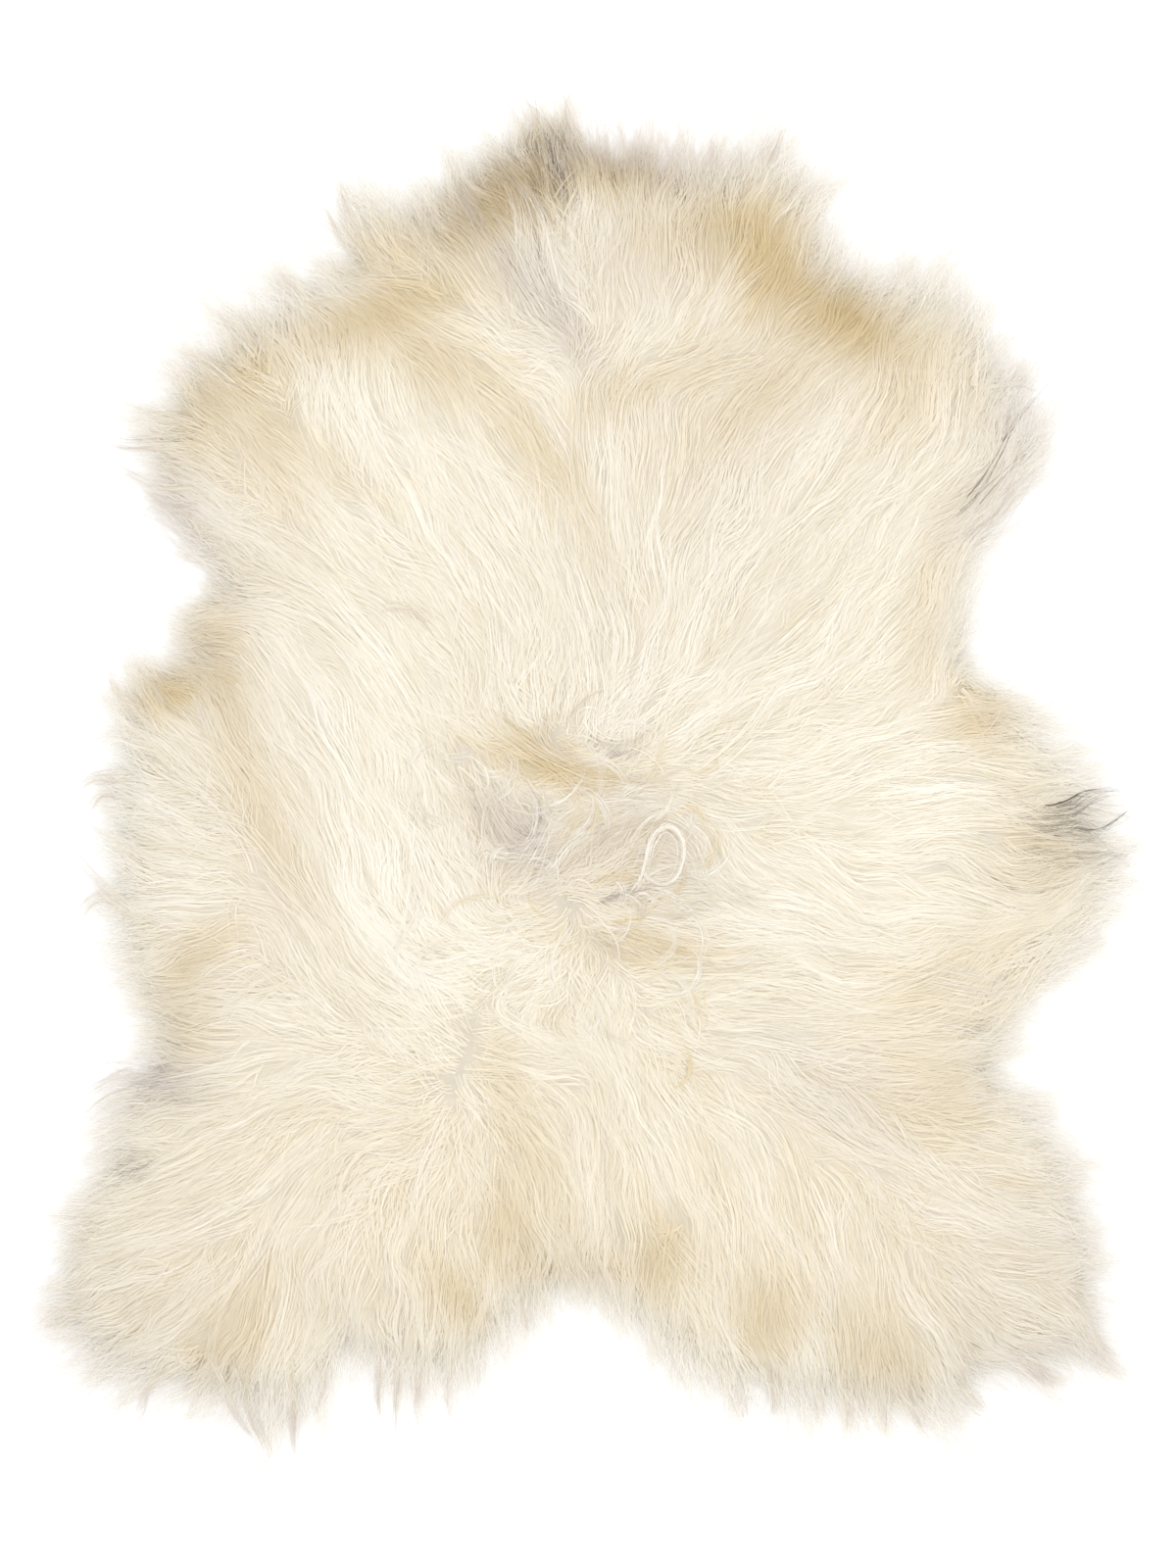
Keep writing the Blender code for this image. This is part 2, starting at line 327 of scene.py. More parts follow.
def teeth(fine):
    """How far the wool stands past each corner of the edge: a saw of uneven teeth.

    Their points stand out by up to the edge's reach, and the notches between them
    cut in. Points and notches take turns at uneven steps along the edge.
    """
    uneven = np.random.default_rng(33)
    run = np.concatenate([[0.0], np.hypot(*np.diff(fine[:, :2], axis=0).T).cumsum()])
    stops = np.cumsum(uneven.uniform(*TOOTH_STEP, int(run[-1] / np.mean(TOOTH_STEP)) // 2 * 2))
    stops = stops * run[-1] / stops[-1]
    out = np.interp(stops, run, fine[:, 4]) * uneven.uniform(*TOOTH_REACH, len(stops))
    out[1::2] = uneven.uniform(*NOTCH, len(stops) // 2)
    return np.interp(run, stops, out, period=run[-1])


def edge_distance_grid():
    """Distance in from the wool's edge, over a square grid, and from its ragged edge.

    A point's distance is to the nearest corner of a fine outline, and it is
    negative outside, where the winding of the outline round the point is nought.
    The ragged edge adds the teeth at that corner.
    """
    fine = closed_curve(edge_rows, EDGE_CORNERS)
    stands_out = teeth(fine)
    x = np.arange(-GRID_HALF[0], GRID_HALF[0], GRID_STEP)
    y = np.arange(-GRID_HALF[1], GRID_HALF[1], GRID_STEP)
    distance = np.empty((len(y), len(x)))
    ragged = np.empty((len(y), len(x)))
    ahead = np.roll(fine[:, :2], -1, axis=0)
    for row, height in enumerate(y):
        away = fine[None, :, :2] - np.column_stack([x, np.full(len(x), height)])[:, None, :]
        apart = np.hypot(away[..., 0], away[..., 1])
        nearest = apart.argmin(axis=1)
        crosses = (fine[:, 1] > height) != (ahead[:, 1] > height)
        start, end = fine[crosses, :2], ahead[crosses]
        share = (height - start[:, 1]) / (end[:, 1] - start[:, 1])
        at = start[:, 0] + share * (end[:, 0] - start[:, 0])
        inside = (at[None, :] > x[:, None]).sum(axis=1) % 2 == 1
        distance[row] = np.where(inside, 1, -1) * apart[np.arange(len(x)), nearest]
        ragged[row] = distance[row] + stands_out[nearest]
    return distance, ragged


distance_grid, ragged_grid = edge_distance_grid()


def read_grid(grid, xy):
    """Values of a grid at places, blended between its four nearest corners."""
    spot = (xy + GRID_HALF) / GRID_STEP
    limit = np.array(grid.shape[::-1]) - 1.001
    spot = np.clip(spot, 0.0, limit)
    low = spot.astype(int)
    share = spot - low
    column, row = low[..., 0], low[..., 1]
    across, along = share[..., 0], share[..., 1]
    below = grid[row, column] * (1 - across) + grid[row, column + 1] * across
    above = grid[row + 1, column] * (1 - across) + grid[row + 1, column + 1] * across
    return below * (1 - along) + above * along


def wool_top(xy):
    """Height of the wool: a crown that rolls off to the rim, with heaps, as the solid has.

    Past the edge it sinks to the floor.
    """
    inward = read_grid(distance_grid, xy)
    x, y = xy[..., 0], xy[..., 1]
    (across, bent_across), (along, bent_along) = HEAP_WAVES
    flat = np.clip(inward / ROLL_OFF, 0.0, 1.0)
    crown = RIM_DEPTH + (CROWN - RIM_DEPTH) * (1.0 - (1.0 - flat) ** 2.2) ** 0.8
    heaps = (np.sin(x / across + 2.2 * np.sin(y / bent_across))
             * np.sin(y / along + 1.4 * np.sin(x / bent_along)))
    past = np.clip(-inward / SINK_RUN, 0.0, 1.0)
    return (crown + HEAP * flat * heaps) * (1.0 - SINK * past)


def drift(xy, wavelength, seed):
    """Smooth wandering from -1 to 1: the mean of six plane waves at random bearings."""
    luck = np.random.default_rng(seed)
    total = 0.0
    for _ in range(6):
        bearing = luck.uniform(0.0, math.tau)
        length = wavelength * luck.uniform(0.7, 1.5)
        across = xy[..., 0] * math.cos(bearing) + xy[..., 1] * math.sin(bearing)
        total = total + np.sin(across * math.tau / length + luck.uniform(0.0, math.tau))
    return total / 3.0


# Where the wool's colour departs from cream: an oval patch at x, y in millimetres,
# turned by lie degrees, with its half length and half width, and how strong it is.
# Amber is stained by the wool's own grease, ash is greyed wool, soot is dark brown or
# black fibre and pale is the whitest wool. A few ash and soot patches are painted
# shade instead, as marked below.
Patch = namedtuple("Patch", "x y lie half_long half_wide strength")
TINT_PATCHES = {
    "amber": [
        Patch(150, 425, -50, 80, 34, 0.70), Patch(205, 385, -35, 60, 30, 0.76),
        Patch(110, 460, 20, 60, 30, 0.45), Patch(260, 345, 70, 55, 45, 0.30),
        Patch(-165, 385, 20, 70, 24, 0.56), Patch(-170, 440, 30, 45, 30, 0.38),
        Patch(-300, 325, 40, 70, 30, 0.45), Patch(-270, 290, 125, 60, 30, 0.30),
        Patch(-120, 345, 150, 70, 22, 0.35), Patch(-40, 270, 125, 70, 16, 0.32),
        Patch(-315, 115, 70, 40, 24, 0.45), Patch(-345, 78, 10, 36, 16, 0.75),
        Patch(-300, 80, 120, 40, 20, 0.38), Patch(-268, -5, 110, 95, 20, 0.27),
        Patch(-325, -148, 35, 48, 16, 0.36), Patch(-345, -190, 0, 30, 34, 0.32),
        Patch(-30, 14, -20, 42, 13, 0.60), Patch(65, -135, -10, 60, 18, 0.25),
        Patch(-45, -300, -70, 80, 18, 0.30), Patch(-65, -365, 85, 50, 24, 0.38),
        Patch(-15, -398, 0, 60, 16, 0.34), Patch(60, -385, 80, 40, 26, 0.38),
        Patch(150, -430, 80, 45, 24, 0.38), Patch(-110, -415, -50, 46, 18, 0.38),
        Patch(300, -170, 30, 80, 40, 0.22), Patch(290, -250, 0, 60, 40, 0.22),
        Patch(330, 60, 0, 30, 26, 0.45), Patch(240, -470, 100, 60, 30, 0.32),
        Patch(-290, -450, 60, 60, 26, 0.32), Patch(60, 330, 20, 70, 14, 0.30),
        Patch(-60, -40, -55, 44, 24, 0.12), Patch(-58, 484, 37, 62, 26, 0.90),
        Patch(-34, 530, 100, 40, 24, 0.85), Patch(30, 508, 0, 60, 20, 0.85),
        Patch(0, -380, 0, 440, 150, 0.10), Patch(15, -50, 0, 70, 42, 0.14),
        Patch(378, -55, 0, 46, 46, 0.26), Patch(145, 325, 40, 70, 32, 0.28),
        Patch(-125, 468, 40, 44, 22, 0.34), Patch(285, 150, 80, 70, 22, 0.22),
    ],
    "ash": [
        # Painted shade: the patches at -55, -42, at 60, -70 and at 5, -50 darken the wool round the
        # curls in the middle of the back, where their shadow falls. The others are grey wool.
        Patch(-55, -42, -55, 40, 20, 0.38), Patch(-345, -250, 0, 42, 22, 0.28),
        Patch(200, -250, -38, 80, 34, 0.14), Patch(-25, 385, 120, 50, 14, 0.40),
        Patch(60, -70, 20, 44, 30, 0.20), Patch(322, 240, 45, 50, 22, 0.18),
        Patch(-350, 220, 150, 60, 40, 0.20), Patch(-55, 488, 37, 60, 24, 0.38),
        Patch(30, 515, 0, 60, 18, 0.40), Patch(-56, 412, 120, 44, 16, 0.36),
        Patch(5, -50, 0, 90, 42, 0.16), Patch(-370, -420, 60, 120, 90, 0.09),
        Patch(370, -430, -60, 120, 90, 0.12), Patch(-290, 0, 95, 280, 70, 0.07),
        Patch(342, 300, 60, 60, 30, 0.14), Patch(40, 430, 0, 80, 50, 0.12),
        Patch(100, 240, 60, 220, 110, 0.07),
    ],
    "soot": [
        # Painted shade: the faint first patch, at -50, -42, darkens the middle of the back under
        # the curls. The others are dark fibre.
        Patch(-50, -42, -55, 30, 14, 0.05), Patch(-30, 503, 100, 32, 13, 0.68),
        Patch(-88, 478, 37, 44, 18, 0.12), Patch(388, -28, 8, 30, 12, 0.32),
        Patch(375, -62, 5, 40, 18, 0.13), Patch(-378, -316, 0, 6, 5, 0.6),
        Patch(-360, -314, 10, 7, 4, 0.4), Patch(-354, -243, 175, 24, 9, 0.20),
    ],
    "pale": [
        Patch(200, 10, 20, 150, 80, 0.05), Patch(-125, -140, 120, 75, 55, 0.40),
    ],
}


def stains(kind, xy):
    """Strength of one kind of colour patch: ovals that fade out evenly, the strongest winning."""
    total = np.zeros(xy.shape[:-1])
    for patch in TINT_PATCHES[kind]:
        way = unit(math.radians(patch.lie))
        apart = xy - np.array([patch.x, patch.y]) * MM
        along = (apart @ way) / (patch.half_long * MM)
        across = (apart[..., 0] * -way[1] + apart[..., 1] * way[0]) / (patch.half_wide * MM)
        total = np.maximum(total, patch.strength * np.exp(-0.7 * (along ** 2 + across ** 2)))
    return total


def set_attribute(piece, name, values):
    layer = piece.data.attributes.new(name, "FLOAT", "POINT")
    layer.data.foreach_set("value", np.asarray(values, np.float32).ravel())


def wool_material(name, light, deep, streak_scale):
    """Wool: cream between two tones by each strand's luck, then amber, ash and soot, where ash and
    soot carry painted shade as well as grey and dark fibre.

    All four are the mesh's own values. Finer streaks of tone run along the fibre
    map, and a bump of the same streaks parts each strand into fibres.
    """
    material, shader, paint = new_material(name, 0.8, 0.15)

    def value(kind):
        return paint.node("ShaderNodeAttribute", {"attribute_name": kind}, {}, output="Fac")

    fibre = paint.node("ShaderNodeUVMap", {"uv_map": "fibre"}, {})
    run = fibre.node("ShaderNodeMapping", {}, {"Vector": fibre, "Scale": streak_scale})
    streaks = run.node("ShaderNodeTexNoise", {}, {"Vector": run, "Scale": 1.0, "Detail": 3.0})
    cream = value("luck").mix(light, deep)
    stained = value("amber").mix(cream, AMBER)
    greyed_and_shaded = value("ash").mix(stained, ASH_AND_SHADE)
    dark = value("soot").mix(greyed_and_shaded, SOOT_AND_SHADE)
    shade = (streaks * STREAK_SHARE).mix(dark, STREAK, "MULTIPLY")
    link(shader, "Base Color", shade)
    glow = paint.node("ShaderNodeBsdfTranslucent", {}, {"Color": shade})
    both = paint.node("ShaderNodeMixShader", {}, {0: THROUGH, 2: glow})
    material.node_tree.links.new(shader.outputs[0], both.output.node.inputs[1])
    surface = material.node_tree.nodes["Material Output"].inputs["Surface"]
    material.node_tree.links.new(both.output, surface)
    link(shader, "Normal", streaks.node("ShaderNodeBump", {},
                                        {"Height": streaks, "Strength": 0.15, "Distance": 0.0003}))
    return material


def heap_surface(edge, inner_edge):
    """Rings of the under-wool, from the middle of the top to the middle underneath.

    The top follows wool_top, a little lower, with matted lumps, and thins towards its
    rim. The rim turns down to the floor, and the underside steps up over the skin.
    """
    away = edge / np.hypot(*edge.T)[:, None]
    reach = np.hypot(*edge.T)
    rings = []
    for share in np.linspace(0.0, 1.0, UNDER_RINGS) ** UNDER_CROWDING:
        xy = edge * share
        inward = np.clip(reach * (1 - share) / LUMP_FADE, 0.0, 1.0)
        lumps = drift(xy, LUMP_WAVE, 5) * LUMP
        height = wool_top(xy) - UNDER_LAYER + lumps * inward
        taper = np.clip(reach * (1 - share) / UNDER_TAPER, 0.0, 1.0)
        height = height * (UNDER_RIM + (1 - UNDER_RIM) * np.sin(taper * math.pi / 2))
        rings.append(np.column_stack([xy, height]))
    rim_height = rings[-1][:, 2]
    for turn in RIM_TURNS:
        inset = (RIM_TUCK * (1 - math.cos(turn * math.pi / 2))
                 - RIM_BULGE * math.sin(turn * math.pi))
        rings.append(np.column_stack([edge - away * inset, rim_height * (1 - turn)]))
    clear = inner_edge + inner_edge / np.hypot(*inner_edge.T)[:, None] * EDGE_GAP
    over_skin = SKIN_THICKNESS + SKIN_GAP
    for xy, height in ((edge - away * FOOT_INSET, FOOT_HEIGHT), (clear, FOOT_HEIGHT),
                       (clear, over_skin), (clear * 0.7, over_skin), (clear * 0.4, over_skin),
                       (clear * 0, over_skin)):
        rings.append(np.column_stack([xy, np.full(len(edge), height)]))
    rings[0][:, 2] = rings[0][:, 2].mean()
    return np.concatenate(rings), len(rings)


under_edge = wool_edge * ((wool_reach - UNDER_INSET) / wool_reach)[:, None]
heap_places, heap_rings = heap_surface(under_edge, skin_edge)
heap = add_piece("fleece_underwool", heap_places, ring_faces(heap_rings, SKIN_CORNERS))
heap_xy = heap_places[:, :2]
set_attribute(heap, "luck", 0.5 + 0.5 * drift(heap_xy, 20 * MM, 7))
set_attribute(heap, "amber", np.clip(0.08 + stains("amber", heap_xy), 0, 1))
set_attribute(heap, "ash", stains("ash", heap_xy))
set_attribute(heap, "soot", stains("soot", heap_xy))
heap_map = heap.data.uv_layers.new(name="fibre")
heap_loops = np.empty(len(heap.data.loops), np.int32)
heap.data.loops.foreach_get("vertex_index", heap_loops)
heap_map.data.foreach_set("uv", (heap_xy[heap_loops] / FIBRE_UNIT).astype(np.float32).ravel())
heap.data.materials.append(wool_material("matted under-wool", MATTED_LIGHT, MATTED_DEEP,
                                         (14.0, 14.0, 1.0)))
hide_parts("fleece")

# ------------------------------------------------------------------ the long locks
# The outer wool, 100 to 150 mm long, growing in locks all over the skin. It was
# combed out from the middle of the back, so each lock rises from its root and
# then lies over the roots of the next. Each strand is a narrow flat ribbon.
LOCK_PITCH = 17.0 * MM
ROOT_JITTER = 0.42
STRANDS_PER_LOCK = 16
STRAND_STEPS = 7
STRAND_WIDTH = 0.8 * MM
LOCK_RADIUS = 12.0 * MM
LOCK_LEAN = 0.16
LOCK_LENGTH = (95 * MM, 140 * MM)
LOCK_SPILL = (-6, 8)  # mean and spread in millimetres
LOCK_CLUMP = (0.05, 0.5)
WAVE_LENGTH = 62 * MM
WAVE_SWING = (1.0, 4.5)  # millimetres
STRAY_SHARE = 0.07
STRAY_BEND, STRAND_BEND = 12.0, 3.8  # millimetres
ROOT_DEPTH = 5.0 * MM
SKIN_MARGIN = 36 * MM
PATH_STEP = 5.0 * MM
PATH_STEPS = 32
LOWEST = 0.4 * MM
PARTING_CELL = 6 * MM
PARTING_SHARE = 0.43
SHORT_STRANDS = 5
SHORT_LENGTH = (30, 70)  # millimetres
SHORT_CLUMP = (0.0, 0.4)
SHORT_RADIUS = 7 * MM
SHORT_DEPTH = 0.5 * MM
SHORT_LEAN = 0.4
COMBED_LIGHT, COMBED_DEEP = (0.985, 0.982, 0.955), (0.905, 0.878, 0.79)

# The way the wool is combed inside the edge: x and y in millimetres and the
# heading in degrees from +X towards +Y.
COMB = {
    "neck": [
        (-32, 500, 106), (-90, 470, 134), (-68, 500, 134), (-112, 482, 140), (-60, 425, 118),
        (-110, 440, 134), (-165, 440, 128), (0, 460, 93), (40, 460, 89), (30, 395, 88),
        (-20, 395, 108), (80, 440, 82), (130, 450, 77), (150, 400, 60), (-70, 395, 128),
    ],
    "left shoulder": [
        (-165, 398, 152), (-110, 368, 148), (-45, 356, 165), (-130, 345, 138), (-70, 315, 132),
        (-45, 275, 124), (-25, 225, 104), (-110, 295, 124), (-155, 320, 108), (-200, 350, 100),
        (-225, 315, 104), (-255, 345, 118), (-275, 290, 130), (-300, 320, 138), (-250, 245, 128),
        (-195, 280, 112), (-180, 225, 130), (-140, 255, 120), (-95, 215, 128), (-55, 180, 124),
        (-320, 260, 156), (-315, 215, 158), (-260, 190, 150), (-250, 150, 160), (-295, 145, 172),
        (-190, 165, 140), (-130, 150, 134),
    ],
    "right shoulder": [
        (0, 300, 91), (35, 255, 90), (60, 300, 86), (25, 345, 60), (60, 343, 24), (110, 345, 36),
        (100, 385, 66), (95, 290, 64), (150, 318, 42), (190, 345, 52), (205, 375, 58),
        (180, 405, 52), (150, 240, 55), (200, 285, 52), (215, 230, 52), (260, 320, 82),
        (300, 330, 76), (255, 365, 70), (300, 375, 66), (250, 275, 60), (295, 265, 55),
        (295, 225, 45), (330, 240, 47), (345, 280, 58), (100, 200, 62), (150, 185, 55),
    ],
    "right side": [
        (250, 170, 58), (295, 170, 70), (285, 120, 72), (300, 92, 78), (318, 88, -8), (322, 60, -2),
        (200, 145, 56), (150, 130, 52), (100, 140, 62), (60, 120, 76), (100, 90, 52), (50, 70, 46),
        (200, 95, 40), (245, 110, 46), (100, 40, 30), (150, 60, 40), (200, 50, 27), (250, 60, 33),
        (150, 20, 14), (200, 0, 5), (260, 12, 7), (300, 10, -2), (345, 20, -12), (150, -30, -4),
        (200, -30, -2), (255, -40, 8), (300, -32, 0), (335, -50, -18), (380, -25, 4),
        (385, -60, 0), (200, -70, -32), (235, -75, 2), (275, -55, 16), (305, -68, -26),
        (345, -85, -4), (250, -102, -4), (300, -105, -12), (200, -115, -30), (232, -142, -4),
        (290, -145, 32), (330, -150, 44), (355, -120, 18), (395, -100, 32), (275, -175, 22),
        (150, -115, -14), (150, -155, -8), (110, -185, -8), (200, -190, 0), (250, -200, 6),
        (300, -205, 16),
    ],
    "right hind leg": [
        (60, -205, -22), (120, -222, -14), (150, -240, -30), (205, -225, -4), (205, -252, -22),
        (255, -235, 0), (310, -245, 2), (250, -285, -14), (310, -290, -5), (30, -245, -72),
        (55, -260, -64), (100, -250, -45), (100, -300, -62), (150, -300, -60), (200, -300, -38),
        (0, -300, -90), (55, -330, -80), (150, -350, -68), (200, -340, -72), (250, -340, -52),
        (300, -330, -10), (350, -325, -5), (50, -400, -92), (95, -380, -76), (130, -420, -90),
        (190, -390, -78), (215, -430, -82), (100, -450, -78), (180, -465, -70), (240, -480, -78),
        (260, -400, -68), (300, -375, -28), (350, -370, -8), (275, -440, -60), (310, -425, -44),
        (350, -440, -25), (390, -430, -25), (300, -475, -44),
    ],
    "left hind leg": [
        (-95, -250, -40), (-60, -282, -48), (-40, -310, -62), (-80, -320, -74), (-30, -350, -80),
        (-60, -385, -86), (-20, -385, -100), (-110, -290, -92), (-105, -350, -92),
        (-100, -420, -94), (-130, -300, -118), (-150, -340, -108), (-150, -410, -94),
        (-150, -460, -93), (-165, -294, -168), (-200, -330, -114), (-200, -400, -98),
        (-200, -450, -100), (-225, -290, -146), (-265, -280, -138), (-250, -345, -118),
        (-250, -410, -104), (-250, -460, -108), (-300, -340, -145), (-300, -395, -128),
        (-300, -440, -122), (-350, -345, -162), (-400, -355, -162), (-350, -405, -156),
        (-400, -430, -152), (-350, -460, -146), (-310, -290, -160), (-355, -290, -165),
    ],
    "left side": [
        (-125, -262, -150), (-150, -275, 180), (-185, -262, 176), (-140, -238, 178),
        (-200, -228, 180), (-235, -252, -164), (-275, -252, -155), (-260, -215, -176),
        (-310, -212, 180), (-340, -245, -178), (-305, -255, -170), (-120, -215, 148),
        (-160, -200, 150), (-200, -180, 148), (-250, -180, 158), (-300, -170, 172),
        (-345, -190, -178), (-325, -145, -148), (-350, -160, -170), (-300, -116, -165),
        (-270, -106, 166), (-345, -100, -178), (-245, -118, 126), (-215, -145, 126),
        (-250, -60, 112), (-268, -10, 113), (-285, 35, 116), (-310, -70, 170), (-350, -60, 172),
        (-315, -25, 155), (-350, -15, 160), (-315, 20, 138), (-350, 35, 146), (-340, 70, 138),
        (-300, 65, 124), (-305, 105, 165), (-250, 110, 130), (-245, 55, 124), (-200, 115, 134),
        (-200, 55, 124), (-200, -5, 114), (-200, -70, 114), (-150, -5, 108), (-150, -70, 106),
        (-150, 60, 128), (-100, 50, 124), (-185, -130, 128), (-105, -25, 120), (-120, 110, 130),
    ],
    "middle of the back": [
        (-60, 80, 108), (-25, 80, 84), (0, 110, 88), (30, 150, 96), (-30, 140, 100), (20, 60, 76),
        (-55, 30, 160), (-20, 10, -20), (-80, 5, -55), (-65, -30, -55), (-55, -75, 28),
        (-25, -60, 34), (10, -45, 44), (30, -15, 8), (65, -12, -12), (90, -30, -36),
        (105, -60, -60), (75, -88, 12), (35, -85, 24), (25, -112, -18), (60, -128, -12),
        (95, -135, -10), (60, -160, -8), (-50, -108, 182), (-60, -130, 186), (-100, -140, 160),
        (-20, -135, -120), (0, -165, -80), (-50, -175, -130), (20, -200, -90), (-70, -212, -4),
        (-20, -218, -6), (-90, -80, 120),
    ],
}
comb_rows = np.array([row for rows in COMB.values() for row in rows], float)
comb_places = np.vstack([comb_rows[:, :2] * MM, edge_rows[:, :2]])
comb_ways = np.vstack([unit(np.radians(comb_rows[:, 2])), edge_rows[:, 2:4]])


def comb_grid():
    """Way the wool lies, over the same grid: the comb's rows weighed by nearness.

    A row's weight is one over the square of its squared distance, plus 9 mm squared.
    """
    rows, columns = distance_grid.shape
    ways = np.empty((rows, columns, 2))
    x = np.arange(columns) * GRID_STEP - GRID_HALF[0]
    for row in range(rows):
        xy = np.column_stack([x, np.full(columns, row * GRID_STEP - GRID_HALF[1])])
        apart = ((xy[:, None, :] - comb_places) ** 2).sum(axis=-1)
        weight = 1.0 / (apart + (9 * MM) ** 2) ** 2
        ways[row] = (weight @ comb_ways) / weight.sum(axis=1)[:, None]
    return ways


lie_grid = comb_grid()


def turned(way, angle):
    """Vectors turned by angles towards the left."""
    c, s = np.cos(angle), np.sin(angle)
    return np.stack([way[..., 0] * c - way[..., 1] * s, way[..., 0] * s + way[..., 1] * c],
                    axis=-1)


def wool_lie(xy):
    """Unit way of the wool at places: the grid's, wandering by up to about 12 degrees."""
    way = np.stack([read_grid(lie_grid[..., 0], xy), read_grid(lie_grid[..., 1], xy)], axis=-1)
    way = turned(way, 0.16 * drift(xy, 50 * MM, 11) + 0.12 * drift(xy, 95 * MM, 12))
    return way / np.maximum(np.linalg.norm(way, axis=-1), 1e-6)[..., None]


def grown_paths(roots, lean):
    """Places every PATH_STEP along the wool's lie from each root, held lean off it."""
    place = roots
    places = [place]
    for _ in range(PATH_STEPS):
        half = place + turned(wool_lie(place), lean) * PATH_STEP / 2
        place = place + turned(wool_lie(half), lean) * PATH_STEP
        places.append(place)
    return np.stack(places, axis=1)


def crossing(past, runs):
    """Run at which each row of past first rises above nought, or the whole run."""
    over = past > 0
    first = np.maximum(over.argmax(axis=1), 1)
    index = np.arange(len(first))
    before, after = past[index, first - 1], past[index, first]
    share = np.clip(-before / np.maximum(after - before, 1e-9), 0.0, 1.0)
    start, end = runs[index, first - 1], runs[index, first]
    return np.where(over.any(axis=1), start + share * (end - start), runs[:, -1])


def room_ahead(paths, limit):
    """Run along each path at which it is past the wool's ragged edge by limit."""
    runs = np.broadcast_to(np.arange(PATH_STEPS + 1) * PATH_STEP, paths.shape[:2])
    return crossing(-read_grid(ragged_grid, paths) - limit[:, None], runs)


def beside(paths, index, run, side):
    """Places at a run along a path, moved to its left by side."""
    spot = np.clip(run / PATH_STEP, 0.0, PATH_STEPS - 0.001)
    low = spot.astype(int)
    blend = (spot - low)[..., None]
    here, ahead = paths[index[:, None], low], paths[index[:, None], low + 1]
    way = (ahead - here) / PATH_STEP
    return here * (1 - blend) + ahead * blend + turned(way, math.pi / 2) * side[..., None]


def ribbons(name, places, widths, tilt, tones):
    """One mesh of flat ribbons, face up: two edges beside each line of places.

    The edges stand half a width to either side, level but for the ribbon's tilt.
    tones holds the colour values of every place. Each ribbon has its own cell in
    the bake map, and the fibre map runs along it.
    """
    strands, steps = places.shape[:2]
    ahead = np.gradient(places, axis=1)
    left = np.stack([-ahead[..., 1], ahead[..., 0]], axis=-1)
    left = left / np.maximum(np.linalg.norm(left, axis=-1), 1e-9)[..., None]
    left = np.concatenate([left * np.cos(tilt)[..., None], np.sin(tilt)[..., None]], axis=-1)
    edges = np.stack([places + left * widths[..., None] / 2,
                      places - left * widths[..., None] / 2], axis=2)
    edges[..., 2] = np.maximum(edges[..., 2], LOWEST)
    first = (np.arange(strands)[:, None] * steps + np.arange(steps - 1)[None, :]) * 2
    faces = np.stack([first + 1, first + 3, first + 2, first], axis=-1).reshape(-1, 4)
    piece = add_piece(name, edges.reshape(-1, 3), faces)
    for kind, values in tones.items():
        set_attribute(piece, kind, np.repeat(np.clip(values, 0, 1)[..., None], 2, axis=2))

    index = np.arange(strands)
    rows = max(1, round(math.sqrt(strands / 25)))
    columns = -(-strands // rows)
    column = ((index % columns)[:, None, None] + np.array([0.3, 0.7])) / columns
    row = ((index // columns)[:, None, None] + np.linspace(0.06, 0.94, steps)[:, None]) / rows
    shape = (strands, steps, 2)
    bake = np.stack([np.broadcast_to(column, shape), np.broadcast_to(row, shape)], axis=-1)
    gone = np.linalg.norm(np.diff(places, axis=1, prepend=places[:, :1]), axis=-1).cumsum(axis=1)
    fibre = np.stack([np.broadcast_to(index[:, None, None] * 3.7 + np.array([0, 1]), shape),
                      np.broadcast_to(gone[..., None] / FIBRE_UNIT, shape)], axis=-1)
    for layer, values in (("OFBake", bake), ("fibre", fibre)):
        new = piece.data.uv_layers.new(name=layer)
        new.data.foreach_set("uv", values.reshape(-1, 2)[faces.ravel()].astype(np.float32).ravel())
    piece.data.materials.append(lock_wool)


def rim_share(inward):
    """0 inside the wool, rising to 1 from 30 mm inside its edge to 10 mm past it."""
    return np.clip((30 * MM - inward) / (40 * MM), 0.0, 1.0)


def wool_tones(places, share, tone, scatter):
    """The four colour values along strands, read from the colour patches a scatter away.

    Wool is deeper and yellower at its root. Near the rim it is painted whiter and less
    yellow, a painted light on the thin wool over the white floor, and it is painted
    greyer from 30 mm inside the edge and more so past it, a painted shade in the thin
    fringe. A strand is dark or not by luck, as likely as the soot there is strong.
    """
    xy = places[..., :2] + scatter[:, None]
    inward = read_grid(distance_grid, places[..., :2])
    rim = rim_share(inward)
    past = np.clip(-inward / (14 * MM), 0.0, 1.0)
    by_luck = luck.random(len(places))[:, None]
    darkness = luck.uniform(0.05, 0.55, len(places))[:, None]
    fringe_shade = luck.uniform(0.0, 0.2, len(places))[:, None]
    # The rim terms are painted: the lighter luck and the weaker amber near the rim are painted
    # light, and the ash from rim and past is painted shade.
    return {
        "luck": tone[:, None] + 0.2 * (1 - share) ** 2 - 0.5 * rim - stains("pale", xy),
        "amber": (1 - 0.7 * rim) * (stains("amber", xy) + 0.12 * (1 - share) ** 2
                                    + 0.04 * by_luck),
        "ash": stains("ash", xy) + 0.05 * rim + fringe_shade * past,
        "soot": np.where(2 * stains("soot", xy) > by_luck, darkness, 0.0),
    }


